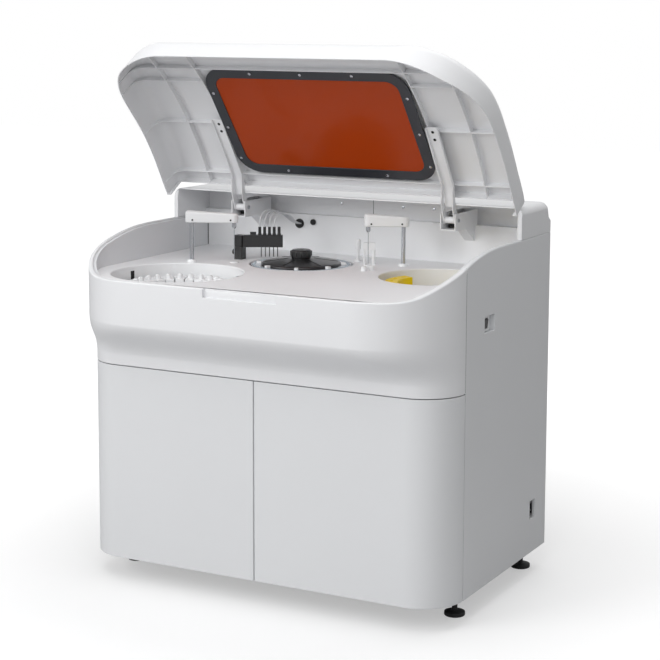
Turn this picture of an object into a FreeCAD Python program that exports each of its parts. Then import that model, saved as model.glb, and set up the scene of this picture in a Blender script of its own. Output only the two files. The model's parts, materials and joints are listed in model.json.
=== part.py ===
import FreeCAD, Part
import math
import os
import re

import Sketcher

# Automatic chemistry analyzer, floor standing, with its lid open.
# Millimetres. x runs to the right, y to the rear, z up from the floor.
# The origin lies on the floor under the middle of the casing.

os.makedirs("parts", exist_ok=True)
doc = FreeCAD.newDocument("ChemistryAnalyzer")
V = FreeCAD.Vector
X_AXIS = V(1, 0, 0)
Y_AXIS = V(0, 1, 0)
Z_AXIS = V(0, 0, 1)

SIZES = [
    ("body_width", 1040, "width over the side panels"),
    ("rear_y", 376, "rear face of the casing"),
    ("seam_y", -166, "upright seam between front cover and side panel"),
    ("corner_low", 110, "corner radius of the doors"),
    ("corner_high", 210, "corner radius of the flared cover and the lid"),
    ("door_bottom", 62, "lower edge of the doors and side panels"),
    ("door_top", 571, "upper edge of the doors"),
    ("seam_gap", 2.5, "gap above and below the doors"),
    ("side_gap", 2, "gap along the upright seams"),
    ("centre_gap", 3, "gap between the two doors"),
    ("door_depth", 18, "depth of a door pan"),
    ("door_skin", 2, "sheet thickness of a door"),
    ("hinge_x", 488, "door hinge axis"),
    ("hinge_y", -194, "door hinge axis"),
    ("hinge_pin", 4, "door hinge pin radius"),
    ("lug_thick", 4, "thickness of the door hinge lugs"),
    ("lug_reach", 42, "hinge axis to the front end of a lug"),
    ("pin_play", 0.05, "radial play of every pin and shaft"),
    ("panel_skin", 2.5, "sheet thickness of the side and rear panels"),
    ("cover_skin", 3, "wall of the front cover"),
    ("flare_low", 600, "height where the cover starts to flare"),
    ("flare_high", 700, "height where the flare ends"),
    ("deck_top", 810, "upper face of the deck"),
    ("deck_thick", 4, "deck thickness"),
    ("rim_width", 12, "width of the rounded rim"),
    ("rim_foot_y", -360, "where the rim starts to rise"),
    ("rim_head_y", 40, "where the rim is level again"),
    ("rim_top", 903, "height of the level rim"),
    ("rim_radius", 770, "radius of the upper rim curve"),
    ("liner_thick", 8, "thickness of the grey liners"),
    ("liner_drop", 5, "liner edge below the rim"),
    ("wall_y", 320, "front face of the back wall"),
    ("ledge_z", 914, "ledge on the back wall"),
    ("recess_y", 340, "recessed panel above the ledge"),
    ("sheet", 3, "thickness of inner sheet parts"),
    ("hood_front_y", 174, "front edge of the rear hood"),
    ("hood_top", 984, "top of the rear hood"),
    ("hood_soft", 20, "edge rounding of the hood"),
    ("frame_tube", 40, "square frame tube"),
    ("tube_wall", 2.5, "wall of the frame tube"),
    ("post_front_y", -146, "front face of the front frame posts"),
    ("mech_z", 574, "underside of the mechanism plate"),
    ("mech_thick", 8, "mechanism plate thickness"),
    ("foot_x", 470, "levelling foot"),
    ("foot_front_y", -100, "front feet"),
    ("foot_rear_y", 330, "rear feet"),
    ("foot_radius", 26, "foot pad radius"),
    ("foot_pad", 14, "foot pad height"),
    ("foot_stem", 7, "foot stem radius"),
    ("reagent_x", -278, "reagent well centre"),
    ("reagent_y", -184, "reagent well centre"),
    ("reagent_r", 170, "reagent well radius"),
    ("reagent_floor", 690, "underside of the reagent tub"),
    ("reaction_x", -81, "reaction well centre"),
    ("reaction_y", 113, "reaction well centre"),
    ("reaction_r", 137.5, "reaction well radius"),
    ("reaction_floor", 740, "underside of the reaction bath"),
    ("sample_x", 331, "sample well centre"),
    ("sample_y", 68, "sample well centre"),
    ("sample_r", 144, "sample well radius"),
    ("sample_floor", 712, "underside of the sample tub"),
    ("well_soft", 3, "rounding of the well edges"),
    ("tub_wall", 3, "tub wall"),
    ("tub_flange", 6, "tub flange width under the deck"),
    ("spindle_r", 10, "carousel spindle radius"),
    ("spindle_top", 56, "spindle height above the tub underside"),
    ("spindle_hole", 16, "hole in the tub floor round the spindle"),
    ("motor_half", 42, "half width of a carousel motor"),
    ("motor_tall", 70, "height of a carousel motor"),
    ("hub_r", 25, "carousel hub radius"),
    ("hub_cap", 6, "solid cap on top of a hub"),
    ("disc_lift", 8, "carousel disc above the tub underside"),
    ("disc_thick", 5, "carousel disc thickness"),
    ("bottle_count", 24, "reagent bottles"),
    ("bottle_in", 94, "inner end of a bottle"),
    ("bottle_out", 156, "outer end of a bottle"),
    ("bottle_tall", 72, "bottle body height"),
    ("bottle_gap", 1.2, "half gap between bottles"),
    ("cap_r", 7.5, "bottle cap radius"),
    ("cap_tall", 11, "bottle cap height"),
    ("ring_in", 100, "inner radius of the cuvette ring"),
    ("ring_out", 133, "outer radius of the cuvette ring"),
    ("ring_top", 808, "top of the cuvette ring"),
    ("cover_r", 106, "radius of the reaction cover"),
    ("cover_lip", 4, "height of the cover lip"),
    ("cover_crown", 824, "crown of the reaction cover"),
    ("knob_r", 27, "cover knob radius"),
    ("knob_top", 847, "top of the cover knob"),
    ("adapter_out", 129, "outer radius of the sample adapters"),
    ("adapter_in", 95, "inner radius of the sample adapters"),
    ("adapter_top", 797, "top of the sample adapters"),
    ("cup_hole", 6, "sample hole radius"),
    ("post_r", 5.5, "probe post radius"),
    ("post_foot", 662, "lower end of the probe posts"),
    ("guide_r", 12, "probe post guide radius"),
    ("guide_foot", 690, "lower end of the post guides"),
    ("collar_r", 11, "white collar radius"),
    ("collar_tall", 7, "white collar height"),
    ("lpost_x", -348, "reagent probe post"),
    ("lpost_y", -6, "reagent probe post"),
    ("larm_low", 916, "underside of the reagent arm"),
    ("larm_top", 948, "top of the reagent arm"),
    ("larm_reach", 114, "reagent post to needle"),
    ("larm_turn", 23.2, "resting angle of the reagent arm"),
    ("rpost_x", 179, "sample probe post"),
    ("rpost_y", 198, "sample probe post"),
    ("rarm_low", 914, "underside of the sample arm"),
    ("rarm_top", 948, "top of the sample arm"),
    ("rarm_reach", 92.6, "sample post to needle"),
    ("rarm_turn", 206.3, "resting angle of the sample arm"),
    ("arm_half", 13, "half width of a probe arm"),
    ("arm_tail", 15, "arm end behind the post"),
    ("arm_nose", 11, "arm end beyond the needle"),
    ("nozzle_r", 6, "nozzle radius"),
    ("nozzle_tall", 15, "nozzle height"),
    ("needle_r", 1.0, "needle radius"),
    ("lneedle_z", 820, "tip of the reagent needle"),
    ("rneedle_z", 816, "tip of the sample needle"),
    ("rinse_r", 9, "rinse cup radius"),
    ("rinse_bore", 6, "rinse cup bore"),
    ("rinse_foot", 736, "bottom of the rinse cups"),
    ("bracket_x", 86, "middle of the rinse bracket"),
    ("bracket_y", 181, "middle of the rinse bracket"),
    ("bracket_low", 850, "underside of the bracket bar"),
    ("wash_x", -264, "wash column"),
    ("wash_y", 103, "wash column"),
    ("wash_half", 12, "half width of the wash column"),
    ("wash_top", 843, "top of the fixed wash column"),
    ("slide_r", 6, "wash head slide rod radius"),
    ("stir_x", 33, "stirrer"),
    ("stir_y", 221, "stirrer"),
    ("stir_r", 4, "stirrer rod radius"),
    ("stir_bush", 8, "stirrer bush radius"),
    ("stir_foot", 745, "lower end of the stirrer"),
    ("stir_neck", 843, "underside of the stirrer head"),
    ("pivot_y", 196, "lid pivot axis"),
    ("pivot_z", 940, "lid pivot axis"),
    ("open_angle", 58.5, "lid opening angle"),
    ("lid_rear_y", 144, "rear edge of the closed lid"),
    ("lid_gap", 3, "gap between the closed lid and the rim"),
    ("lid_skin", 3, "lid wall"),
    ("crown_z", 993, "crown of the closed lid"),
    ("crown_y", 60, "where the crown is level"),
    ("crown_r", 986, "radius of the long lid curve"),
    ("nose_r", 50, "radius of the lid nose"),
    ("side_soft", 34, "edge rounding along the lid sides"),
    ("rib_deep", 15, "depth of the lid ribs"),
    ("rib_thick", 3, "rib thickness"),
    ("rib_inset", 105, "outermost ribs from the lid's sides"),
    ("window_x", 0, "middle of the lid window"),
    ("window_half", 266, "half width of the window"),
    ("window_front", -234, "front edge of the window"),
    ("window_rear", 71, "rear edge of the window"),
    ("window_soft", 35, "window corner radius"),
    ("window_z", 961.4, "height of the window plane at mid depth"),
    ("window_tilt", 6.56, "slope of the window plane"),
    ("pane_thick", 2, "window pane thickness"),
    ("bezel_wide", 28, "width of the window frame"),
    ("bezel_thick", 4, "thickness of the window frame"),
    ("arm_x", 314, "middle of a lid arm"),
    ("arm_wide", 34, "width of a lid arm"),
    ("arm_sheet", 3, "sheet of a lid arm"),
    ("arm_front_y", -78, "front end of a lid arm"),
    ("arm_bend_y", 108, "where a lid arm bends down"),
    ("arm_deep", 8, "depth of a lid arm's channel"),
    ("hub_ring", 12, "lid arm eye radius"),
    ("lid_pin", 5, "lid pivot pin radius"),
    ("housing_half", 22, "half width of a hinge housing"),
    ("housing_low", 914, "underside of a hinge housing"),
    ("housing_high", 958, "top of a hinge housing"),
    ("housing_front", 178, "front of a hinge housing"),
    ("switch_y", -23, "middle of the switch recess"),
    ("switch_z", 721, "middle of the switch recess"),
    ("switch_wide", 63, "switch recess width"),
    ("switch_tall", 41, "switch recess height"),
    ("rocker_half", 11.5, "half height of the rocker"),
    ("rocker_tilt", 7, "resting tilt of the rocker"),
    ("inlet_y", 283, "middle of the inlet recess"),
    ("inlet_z", 178, "middle of the inlet recess"),
    ("inlet_wide", 37, "inlet recess width"),
    ("inlet_tall", 49, "inlet recess height"),
    ("recess_deep", 16, "depth of the side recesses"),
    ("notch_left", -84, "left end of the finger notch"),
    ("notch_right", 121, "right end of the finger notch"),
    ("notch_floor", 787, "floor of the finger notch"),
    ("notch_deep", 9, "depth of the finger notch"),
    ("can_wide", 150, "width of a canister"),
    ("can_deep", 200, "depth of a canister"),
    ("can_tall", 250, "height of a canister"),
    ("can_soft", 20, "upright edge rounding of a canister"),
    ("can_neck", 22, "neck radius of a canister"),
    ("can_y", 90, "middle of the canisters"),
    ("shelf_z", 300, "shelf in the right bay"),
    ("pump_pitch", 90, "distance between the syringe pumps"),
    ("pump_half", 30, "half width of a syringe pump"),
    ("pump_tall", 120, "height of a syringe pump"),
    ("hose_r", 1.8, "wash tube radius"),
]

sheet = doc.addObject("Spreadsheet::Sheet", "Sizes")
for row, (alias, number, note) in enumerate(SIZES, start=1):
    sheet.set("A%d" % row, note)
    sheet.set("B%d" % row, str(number))
    sheet.setAlias("B%d" % row, alias)
doc.recompute()
ALIASES = {entry[0] for entry in SIZES}

# Derived places, written once as sheet expressions.
HALF = "(body_width / 2)"
FRONT = "(seam_y - corner_high)"
INNER_X = "(body_width / 2 - panel_skin)"
RIM_X = "(body_width / 2 - rim_width)"
DECK_LOW = "(deck_top - deck_thick)"
COVER_LOW = "(door_top + seam_gap)"
PANEL_Y = "(seam_y + side_gap)"
MECH_TOP = "(mech_z + mech_thick)"
BASE_TOP = "(door_bottom + sheet)"
REAR_IN = "(rear_y - panel_skin)"
RIM_SINE = "sin(2 * atan((rim_top - deck_top) / (rim_head_y - rim_foot_y)))"
RIM_COSINE = "cos(2 * atan((rim_top - deck_top) / (rim_head_y - rim_foot_y)))"
RIM_FOOT_R = f"((rim_head_y - rim_foot_y) / {RIM_SINE} - rim_radius)"
TALL = "(crown_z + 100)"


def full(text):
    """Put the sheet's name before each alias of an expression."""
    return re.sub(r"[a-z_]+[a-z0-9_]*", lambda m: "Sizes." + m.group() if m.group() in ALIASES else m.group(), text)


def val(text):
    """The present value of an expression."""
    return float(sheet.evalExpression(full(text)))


def tie(item, prop, text):
    """Bind a property to an expression of the sheet."""
    item.setExpression(prop, full(text))


def place(item, x="0", y="0", z="0"):
    """Bind the place of an item."""
    for axis, text in zip("xyz", (x, y, z)):
        tie(item, "Placement.Base." + axis, text)
    return item


def box(name, x, y, z):
    """A box between a low and a high expression on each axis."""
    item = doc.addObject("Part::Box", name)
    for prop, (low, high) in zip(("Length", "Width", "Height"), (x, y, z)):
        tie(item, prop, f"({high}) - ({low})")
    return place(item, x[0], y[0], z[0])


def rod(name, radius, x, y, z, axis="z"):
    """A cylinder along one axis; that axis takes a low and high pair."""
    item = doc.addObject("Part::Cylinder", name)
    tie(item, "Radius", radius)
    run = {"x": x, "y": y, "z": z}[axis]
    tie(item, "Height", f"({run[1]}) - ({run[0]})")
    turn = {"x": (Y_AXIS, 90), "y": (X_AXIS, -90), "z": (Z_AXIS, 0)}[axis]
    item.Placement = FreeCAD.Placement(V(0, 0, 0), FreeCAD.Rotation(*turn))
    spots = [spot[0] if isinstance(spot, tuple) else spot for spot in (x, y, z)]
    return place(item, *spots)


def fuse(name, *items):
    """One solid from several that touch."""
    item = doc.addObject("Part::MultiFuse", name)
    item.Shapes = list(items)
    item.Refine = True
    return item


def cut(name, base, *tools):
    """The base less all the tools."""
    item = doc.addObject("Part::Cut", name)
    item.Base = base
    item.Tool = tools[0] if len(tools) == 1 else group(name + "_tools", *tools)
    return item


def common(name, one, other):
    """What two solids share."""
    item = doc.addObject("Part::Common", name)
    item.Base = one
    item.Tool = other
    return item


def group(name, *items):
    """Separate solids kept together."""
    item = doc.addObject("Part::Compound", name)
    item.Links = list(items)
    return item


def mirrored(name, source):
    """The other hand of a piece."""
    item = doc.addObject("Part::Mirroring", name)
    item.Source = source
    item.Normal = X_AXIS
    return item


def rounded(name, source, radius, chosen):
    """Round the edges that the test picks by their middle point and direction."""
    doc.recompute()
    picks = []
    for number, edge in enumerate(source.Shape.Edges, start=1):
        middle = edge.valueAt((edge.FirstParameter + edge.LastParameter) / 2)
        if chosen(middle, edge):
            picks.append((number, val(radius), val(radius)))
    item = doc.addObject("Part::Fillet", name)
    item.Base = source
    item.Edges = picks
    return item


def plane_of(body, role):
    """One of a body's own origin planes."""
    return [item for item in body.Origin.OriginFeatures if item.Role == role][0]


def outline(body, role, points, offset="0"):
    """A closed sketch. A point is (x, y), or (x, y, radius, side) where an arc leads to the next one."""
    sketch = body.newObject("Sketcher::SketchObject", body.Name + "_sketch")
    sketch.AttachmentSupport = [(plane_of(body, role), "")]
    sketch.MapMode = "FlatFace"
    tie(sketch, "AttachmentOffset.Base.z", offset)
    spots = [V(val(point[0]), val(point[1]), 0) for point in points]
    count = len(points)
    starts = []
    for index, point in enumerate(points):
        one = spots[index]
        two = spots[(index + 1) % count]
        if len(point) == 2:
            sketch.addGeometry(Part.LineSegment(one, two), False)
            starts.append(1)
            continue
        radius = val(point[2])
        half = (two - one).Length / 2
        rise = math.sqrt(max(radius * radius - half * half, 0.0))
        normal = V(one.y - two.y, two.x - one.x, 0).normalize()
        centre = (one + two) * 0.5 + normal * rise * point[3]
        first, last = (one, two) if point[3] > 0 else (two, one)
        angles = [math.atan2(spot.y - centre.y, spot.x - centre.x) for spot in (first, last)]
        if angles[1] < angles[0]:
            angles[1] += 2 * math.pi
        circle = Part.Circle(centre, Z_AXIS, radius)
        sketch.addGeometry(Part.ArcOfCircle(circle, angles[0], angles[1]), False)
        starts.append(1 if point[3] > 0 else 2)
    for index in range(count):
        after = (index + 1) % count
        sketch.addConstraint(Sketcher.Constraint("Coincident", index, 3 - starts[index], after, starts[after]))
    for index, point in enumerate(points):
        for kind, text, spot in (("DistanceX", point[0], spots[index].x), ("DistanceY", point[1], spots[index].y)):
            number = sketch.addConstraint(Sketcher.Constraint(kind, -1, 1, index, starts[index], spot))
            sketch.setExpression("Constraints[%d]" % number, full(text))
        if len(point) == 4:
            number = sketch.addConstraint(Sketcher.Constraint("Radius", index, val(point[2])))
            sketch.setExpression("Constraints[%d]" % number, full(point[2]))
    return sketch


def pad(body, sketch, length):
    """Pad a sketch along its normal."""
    item = body.newObject("PartDesign::Pad", body.Name + "_pad")
    item.Profile = sketch
    tie(item, "Length", length)
    return item


def prism(name, points, low, high):
    """A plan outline raised between two heights."""
    body = doc.addObject("PartDesign::Body", name)
    pad(body, outline(body, "XY_Plane", points, low), f"({high}) - ({low})")
    return body


def side_prism(name, points, low, high):
    """A side view outline (y, z) drawn out between two x values."""
    body = doc.addObject("PartDesign::Body", name)
    pad(body, outline(body, "YZ_Plane", points, low), f"({high}) - ({low})")
    return body


def turned(name, points, x="0", y="0", z="0"):
    """A radius and height outline spun about an upright axis."""
    body = doc.addObject("PartDesign::Body", name)
    sketch = outline(body, "XZ_Plane", points)
    item = body.newObject("PartDesign::Revolution", name + "_spin")
    item.Profile = sketch
    item.ReferenceAxis = (sketch, ["V_Axis"])
    item.Angle = 360
    return place(body, x, y, z)


def copy_at(name, source, angle="0", x="0", y="0", z="0"):
    """A copy of an item, turned about the upright axis and moved."""
    item = group(name, source)
    item.Placement = FreeCAD.Placement(V(0, 0, 0), FreeCAD.Rotation(Z_AXIS, 10))
    tie(item, "Placement.Rotation.Angle", angle)
    return place(item, x, y, z)


def front_plan(inset, back, radius="corner_high"):
    """Plan outline with two round front corners, set in from the casing."""
    side = f"({HALF} - ({inset}))"
    turn = f"({HALF} - {radius})"
    arc = f"({radius} - ({inset}))"
    nose = f"(seam_y - {radius} + ({inset}))"
    round_front = [(f"-{side}", "seam_y", arc, 1), (f"-{turn}", nose), (turn, nose, arc, 1), (side, "seam_y")]
    if back == "seam_y":
        return round_front
    return [(f"-{side}", back), *round_front, (side, back)]


NODES = []


def node(label, item):
    """Name a finished sub-part."""
    item.Label = label
    NODES.append(item)
    return item


# Rim line, the S curve along both sides.
def rim_edge(name, lift, under):
    """The space under the rim line, or over it."""
    joint_y = f"(rim_foot_y + {RIM_FOOT_R} * {RIM_SINE})"
    joint_z = f"(deck_top + {RIM_FOOT_R} * (1 - {RIM_COSINE}) + ({lift}))"
    far = "(mech_z - 100)" if under else TALL
    points = [
        (f"({FRONT} - 50)", f"deck_top + ({lift})"),
        ("rim_foot_y", f"deck_top + ({lift})", RIM_FOOT_R, 1),
        (joint_y, joint_z, "rim_radius", -1),
        ("rim_head_y", f"rim_top + ({lift})"),
        ("rear_y + 50", f"rim_top + ({lift})"),
        ("rear_y + 50", far),
        (f"({FRONT} - 50)", far),
    ]
    return side_prism(name, points, f"-({HALF} + 50)", f"({HALF} + 50)")


above_rim = rim_edge("above_rim", "0", False)
below_liner = rim_edge("below_liner", "-liner_drop", True)


# Front cover with its flare, the piece that takes the most skill.
def cover_form(name, inset, back, low, high):
    """The flared front form, solid, set in by a wall."""
    body = doc.addObject("PartDesign::Body", name)
    pad(body, outline(body, "XY_Plane", front_plan(inset, back, "corner_low"), low), f"flare_low - ({low})")
    loft = body.newObject("PartDesign::AdditiveLoft", name + "_flare")
    sections = []
    steps = 4
    for step in range(steps + 1):
        share = f"(1 - cos({180 * step / steps} deg)) / 2"
        radius = f"(corner_low + (corner_high - corner_low) * {share})"
        rise = f"flare_low + (flare_high - flare_low) * {step / steps}"
        sections.append(outline(body, "XY_Plane", front_plan(inset, back, radius), rise))
    loft.Profile = sections[0]
    loft.Sections = sections[1:]
    pad(body, outline(body, "XY_Plane", front_plan(inset, back), "flare_high"), f"({high}) - flare_high")
    return body


cover_outer = cover_form("cover_outer", "0", "seam_y", COVER_LOW, "rim_top")
cover_inner = cover_form("cover_inner", "cover_skin", "seam_y + 30", f"{COVER_LOW} - 5", DECK_LOW)
cover_lip = prism("cover_lip", front_plan("rim_width", "seam_y + 30"), f"{DECK_LOW} - 1", "rim_top + 10")
notch = box("notch", ("notch_left", "notch_right"), (f"{FRONT} - 5", f"{FRONT} + notch_deep"),
            ("notch_floor", "deck_top + 5"))
node("front_cover", cut("cover_shell", cover_outer, cover_inner, cover_lip, above_rim, notch))

# Deck with three wells and the holes for posts and rinse cups.
deck_plate = prism("deck_plate", front_plan("rim_width", "wall_y"), DECK_LOW, "deck_top")
WELLS = {
    "reagent": ("reagent_x", "reagent_y", "reagent_r", "reagent_floor"),
    "reaction": ("reaction_x", "reaction_y", "reaction_r", "reaction_floor"),
    "sample": ("sample_x", "sample_y", "sample_r", "sample_floor"),
}
DECK_SPAN = (f"{DECK_LOW} - 1", "deck_top + 1")
well_cuts = [rod(name + "_hole", spot[2], spot[0], spot[1], DECK_SPAN) for name, spot in WELLS.items()]
LEFT_TIP = ("(lpost_x + larm_reach * cos(larm_turn * 1 deg))", "(lpost_y + larm_reach * sin(larm_turn * 1 deg))")
RIGHT_TIP = ("(rpost_x + rarm_reach * cos(rarm_turn * 1 deg))", "(rpost_y + rarm_reach * sin(rarm_turn * 1 deg))")
post_cuts = [
    rod("left_guide_hole", "guide_r", "lpost_x", "lpost_y", DECK_SPAN),
    rod("right_guide_hole", "guide_r", "rpost_x", "rpost_y", DECK_SPAN),
    rod("left_rinse_hole", "rinse_r", *LEFT_TIP, DECK_SPAN),
    rod("right_rinse_hole", "rinse_r", *RIGHT_TIP, DECK_SPAN),
    rod("stirrer_hole", "stir_bush", "stir_x", "stir_y", DECK_SPAN),
]
deck_cut = cut("deck_cut", deck_plate, *well_cuts, *post_cuts)


def well_edge(middle, edge):
    """Upper edges of the three wells."""
    if abs(edge.BoundBox.ZMin - val("deck_top")) > 0.01 or not hasattr(edge.Curve, "Radius"):
        return False
    return any(abs(edge.Curve.Radius - val(spot[2])) < 0.01 for spot in WELLS.values())


node("deck", rounded("deck_round", deck_cut, "well_soft", well_edge))


# Tubs under the wells.
def tub(label, spot):
    """A pot with a floor hole and a flange against the deck."""
    x, y, radius, floor = spot
    points = [
        ("spindle_hole", floor),
        (f"{radius} + tub_wall", floor),
        (f"{radius} + tub_wall", f"{DECK_LOW} - tub_wall"),
        (f"{radius} + tub_flange", f"{DECK_LOW} - tub_wall"),
        (f"{radius} + tub_flange", DECK_LOW),
        (radius, DECK_LOW),
        (radius, f"{floor} + tub_wall"),
        ("spindle_hole", f"{floor} + tub_wall"),
    ]
    return node(label, turned(label + "_pot", points, x, y))


tub("reagent_tub", WELLS["reagent"])
tub("reaction_bath", WELLS["reaction"])
tub("sample_tub", WELLS["sample"])

# Side panels, thin below and with a thick rim above the deck.
PANEL_SPAN = (PANEL_Y, "rear_y")


def side_panel(name):
    """The right hand side panel before its recesses."""
    skin = box(name + "_skin", (INNER_X, HALF), PANEL_SPAN, ("door_bottom", "rim_top"))
    thick = box(name + "_thick", (RIM_X, HALF), (PANEL_Y, REAR_IN), (f"{DECK_LOW} - 6", "rim_top"))
    return cut(name + "_shape", fuse(name + "_whole", skin, thick), above_rim)


def recess(name, y, z, wide, tall):
    """A pocket pan let into the side panel: its block and its hollow."""
    spans = [(f"{mid} - {size} / 2", f"{mid} + {size} / 2") for mid, size in ((y, wide), (z, tall))]
    walls = [(f"({low}) - 2", f"({high}) + 2") for low, high in spans]
    block = box(name + "_block", (f"{HALF} - recess_deep - 2", f"{HALF} - 1"), *walls)
    hollow = box(name + "_hollow", (f"{HALF} - recess_deep", f"{HALF} + 1"), *spans)
    return block, hollow


switch_block, switch_hollow = recess("switch_recess", "switch_y", "switch_z", "switch_wide", "switch_tall")
inlet_block, inlet_hollow = recess("inlet_recess", "inlet_y", "inlet_z", "inlet_wide", "inlet_tall")
right_whole = fuse("right_whole", side_panel("right_panel"), switch_block, inlet_block)
node("right_side_panel", cut("right_cut", right_whole, switch_hollow, inlet_hollow))
node("left_side_panel", mirrored("left_copy", side_panel("left_panel")))

# Grey liners inside the rim.
liner_outer = prism("liner_outer", front_plan("rim_width", "wall_y"), "deck_top", "rim_top")
liner_inner = prism("liner_inner", front_plan("rim_width + liner_thick", "wall_y + 20"),
                    "deck_top - 5", "rim_top + 10")
liner_both = common("liner_both", cut("liner_band", liner_outer, liner_inner), below_liner)
right_half = box("right_half", ("0", f"{HALF} + 50"), (f"{FRONT} - 50", "rear_y + 50"), ("0", TALL))
right_liner = common("right_liner_half", liner_both, right_half)
node("side_liners", group("liners", right_liner, mirrored("left_liner", right_liner)))

# Back wall: upright, ledge and recessed upper panel, one folded sheet.
wall_points = [
    ("wall_y", DECK_LOW),
    ("wall_y + sheet", DECK_LOW),
    ("wall_y + sheet", "ledge_z - sheet"),
    ("recess_y + sheet", "ledge_z - sheet"),
    ("recess_y + sheet", "hood_top - sheet"),
    ("recess_y", "hood_top - sheet"),
    ("recess_y", "ledge_z"),
    ("wall_y", "ledge_z"),
]
node("back_wall", side_prism("wall_body", wall_points, f"-{RIM_X}", RIM_X))

# Rear hood over the back of the deck.
hood_points = [
    ("hood_front_y", "rim_top"),
    ("rear_y", "rim_top"),
    ("rear_y", "rim_top + 30"),
    ("rear_y - 14", "rim_top + 40"),
    ("rear_y - 28", "hood_top"),
    ("hood_front_y + 6", "hood_top"),
    ("hood_front_y", "hood_top - 26"),
]
hood_outer = side_prism("hood_outer", hood_points, f"-{HALF}", HALF)
hood_round = rounded("hood_round", hood_outer, "hood_soft",
                     lambda m, e: abs(abs(m.x) - val(HALF)) < 0.01 and abs(m.z - val("hood_top")) < 0.01)
hood_inner_points = [
    ("hood_front_y - 20", "rim_top - 5"),
    (f"{REAR_IN}", "rim_top - 5"),
    (f"{REAR_IN}", "rim_top + 28"),
    ("rear_y - 18", "rim_top + 37"),
    ("rear_y - 31", "hood_top - sheet"),
    ("hood_front_y - 20", "hood_top - sheet"),
]
hood_inner = side_prism("hood_inner", hood_inner_points, f"-{RIM_X}", RIM_X)
arm_slot = box("arm_slot", ("arm_x - arm_wide / 2 - 3", "arm_x + arm_wide / 2 + 3"),
               ("hood_front_y - 5", "hood_front_y + 22"), ("rim_top", "hood_top + 5"))
node("rear_hood", cut("hood_shell", hood_round, hood_inner, arm_slot, mirrored("left_arm_slot", arm_slot)))

# Rear panel with vent slots.
rear_sheet = box("rear_sheet", (f"-{INNER_X}", INNER_X), (REAR_IN, "rear_y"), ("door_bottom", "rim_top"))
SLOT_ROWS = 9
slots = []
for bank, bank_x in enumerate((-300, 300)):
    for index in range(SLOT_ROWS):
        low = f"{MECH_TOP} - 190 + {index * 16}"
        slot = box("slot_%d_%d" % (bank, index), (f"{bank_x - 90}", f"{bank_x + 90}"),
                   (f"{REAR_IN} - 1", "rear_y + 1"), (low, f"{low} + 6"))
        slots.append(slot)
node("rear_panel", cut("rear_cut", rear_sheet, *slots))

# Base pan, frame of square tubes and feet.
node("base_pan", box("base_box", (f"-{INNER_X}", INNER_X), ("post_front_y", REAR_IN), ("door_bottom", BASE_TOP)))


def tube(name, x, y, z, axis):
    """A hollow square tube."""
    spans = [x, y, z]
    inner = [(f"({low}) + tube_wall", f"({high}) - tube_wall") for low, high in spans]
    along = "xyz".index(axis)
    inner[along] = (f"({spans[along][0]}) - 1", f"({spans[along][1]}) + 1")
    return cut(name, box(name + "_outer", *spans), box(name + "_inner", *inner))


LEG_X = (f"{INNER_X} - frame_tube", INNER_X)
FRONT_Y = ("post_front_y", "post_front_y + frame_tube")
BACK_Y = (f"{REAR_IN} - frame_tube", REAR_IN)
RAIL_LOW = (BASE_TOP, f"{BASE_TOP} + frame_tube")
RAIL_HIGH = ("mech_z - frame_tube", "mech_z")
LEG_Z = (RAIL_LOW[1], RAIL_HIGH[0])
SIDE_Y = (FRONT_Y[1], BACK_Y[0])
CROSS_X = (f"-{INNER_X}", INNER_X)
right_tubes = [
    tube("front_leg", LEG_X, FRONT_Y, LEG_Z, "z"),
    tube("back_leg", LEG_X, BACK_Y, LEG_Z, "z"),
    tube("low_rail", LEG_X, SIDE_Y, RAIL_LOW, "y"),
    tube("high_rail", LEG_X, SIDE_Y, RAIL_HIGH, "y"),
]
left_tubes = [mirrored(item.Name + "_left", item) for item in right_tubes]
cross_tubes = [
    tube("front_low", CROSS_X, FRONT_Y, RAIL_LOW, "x"),
    tube("front_high", CROSS_X, FRONT_Y, RAIL_HIGH, "x"),
    tube("back_low", CROSS_X, BACK_Y, RAIL_LOW, "x"),
    tube("back_high", CROSS_X, BACK_Y, RAIL_HIGH, "x"),
]
node("base_frame", group("frame_tubes", *right_tubes, *left_tubes, *cross_tubes))
node("centre_partition", box("partition", ("-1", "1"), (FRONT_Y[1], BACK_Y[0]), (BASE_TOP, "mech_z")))

foot_points = [
    ("0", "0"),
    ("foot_radius - 2", "0"),
    ("foot_radius", "2"),
    ("foot_radius", "foot_pad - 4"),
    ("foot_stem + 6", "foot_pad"),
    ("foot_stem", "foot_pad"),
    ("foot_stem", "door_bottom"),
    ("0", "door_bottom"),
]
feet = []
for index, (sign, depth) in enumerate((("", "foot_front_y"), ("-", "foot_front_y"),
                                       ("", "foot_rear_y"), ("-", "foot_rear_y"))):
    feet.append(turned("foot_%d" % index, foot_points, sign + "foot_x", depth))
node("levelling_feet", group("feet", *feet))

# Mechanism plate, outlined to the cover's inner face.
node("mechanism_plate", prism("mech_plate", front_plan("cover_skin", REAR_IN, "corner_low"), "mech_z", MECH_TOP))


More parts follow.
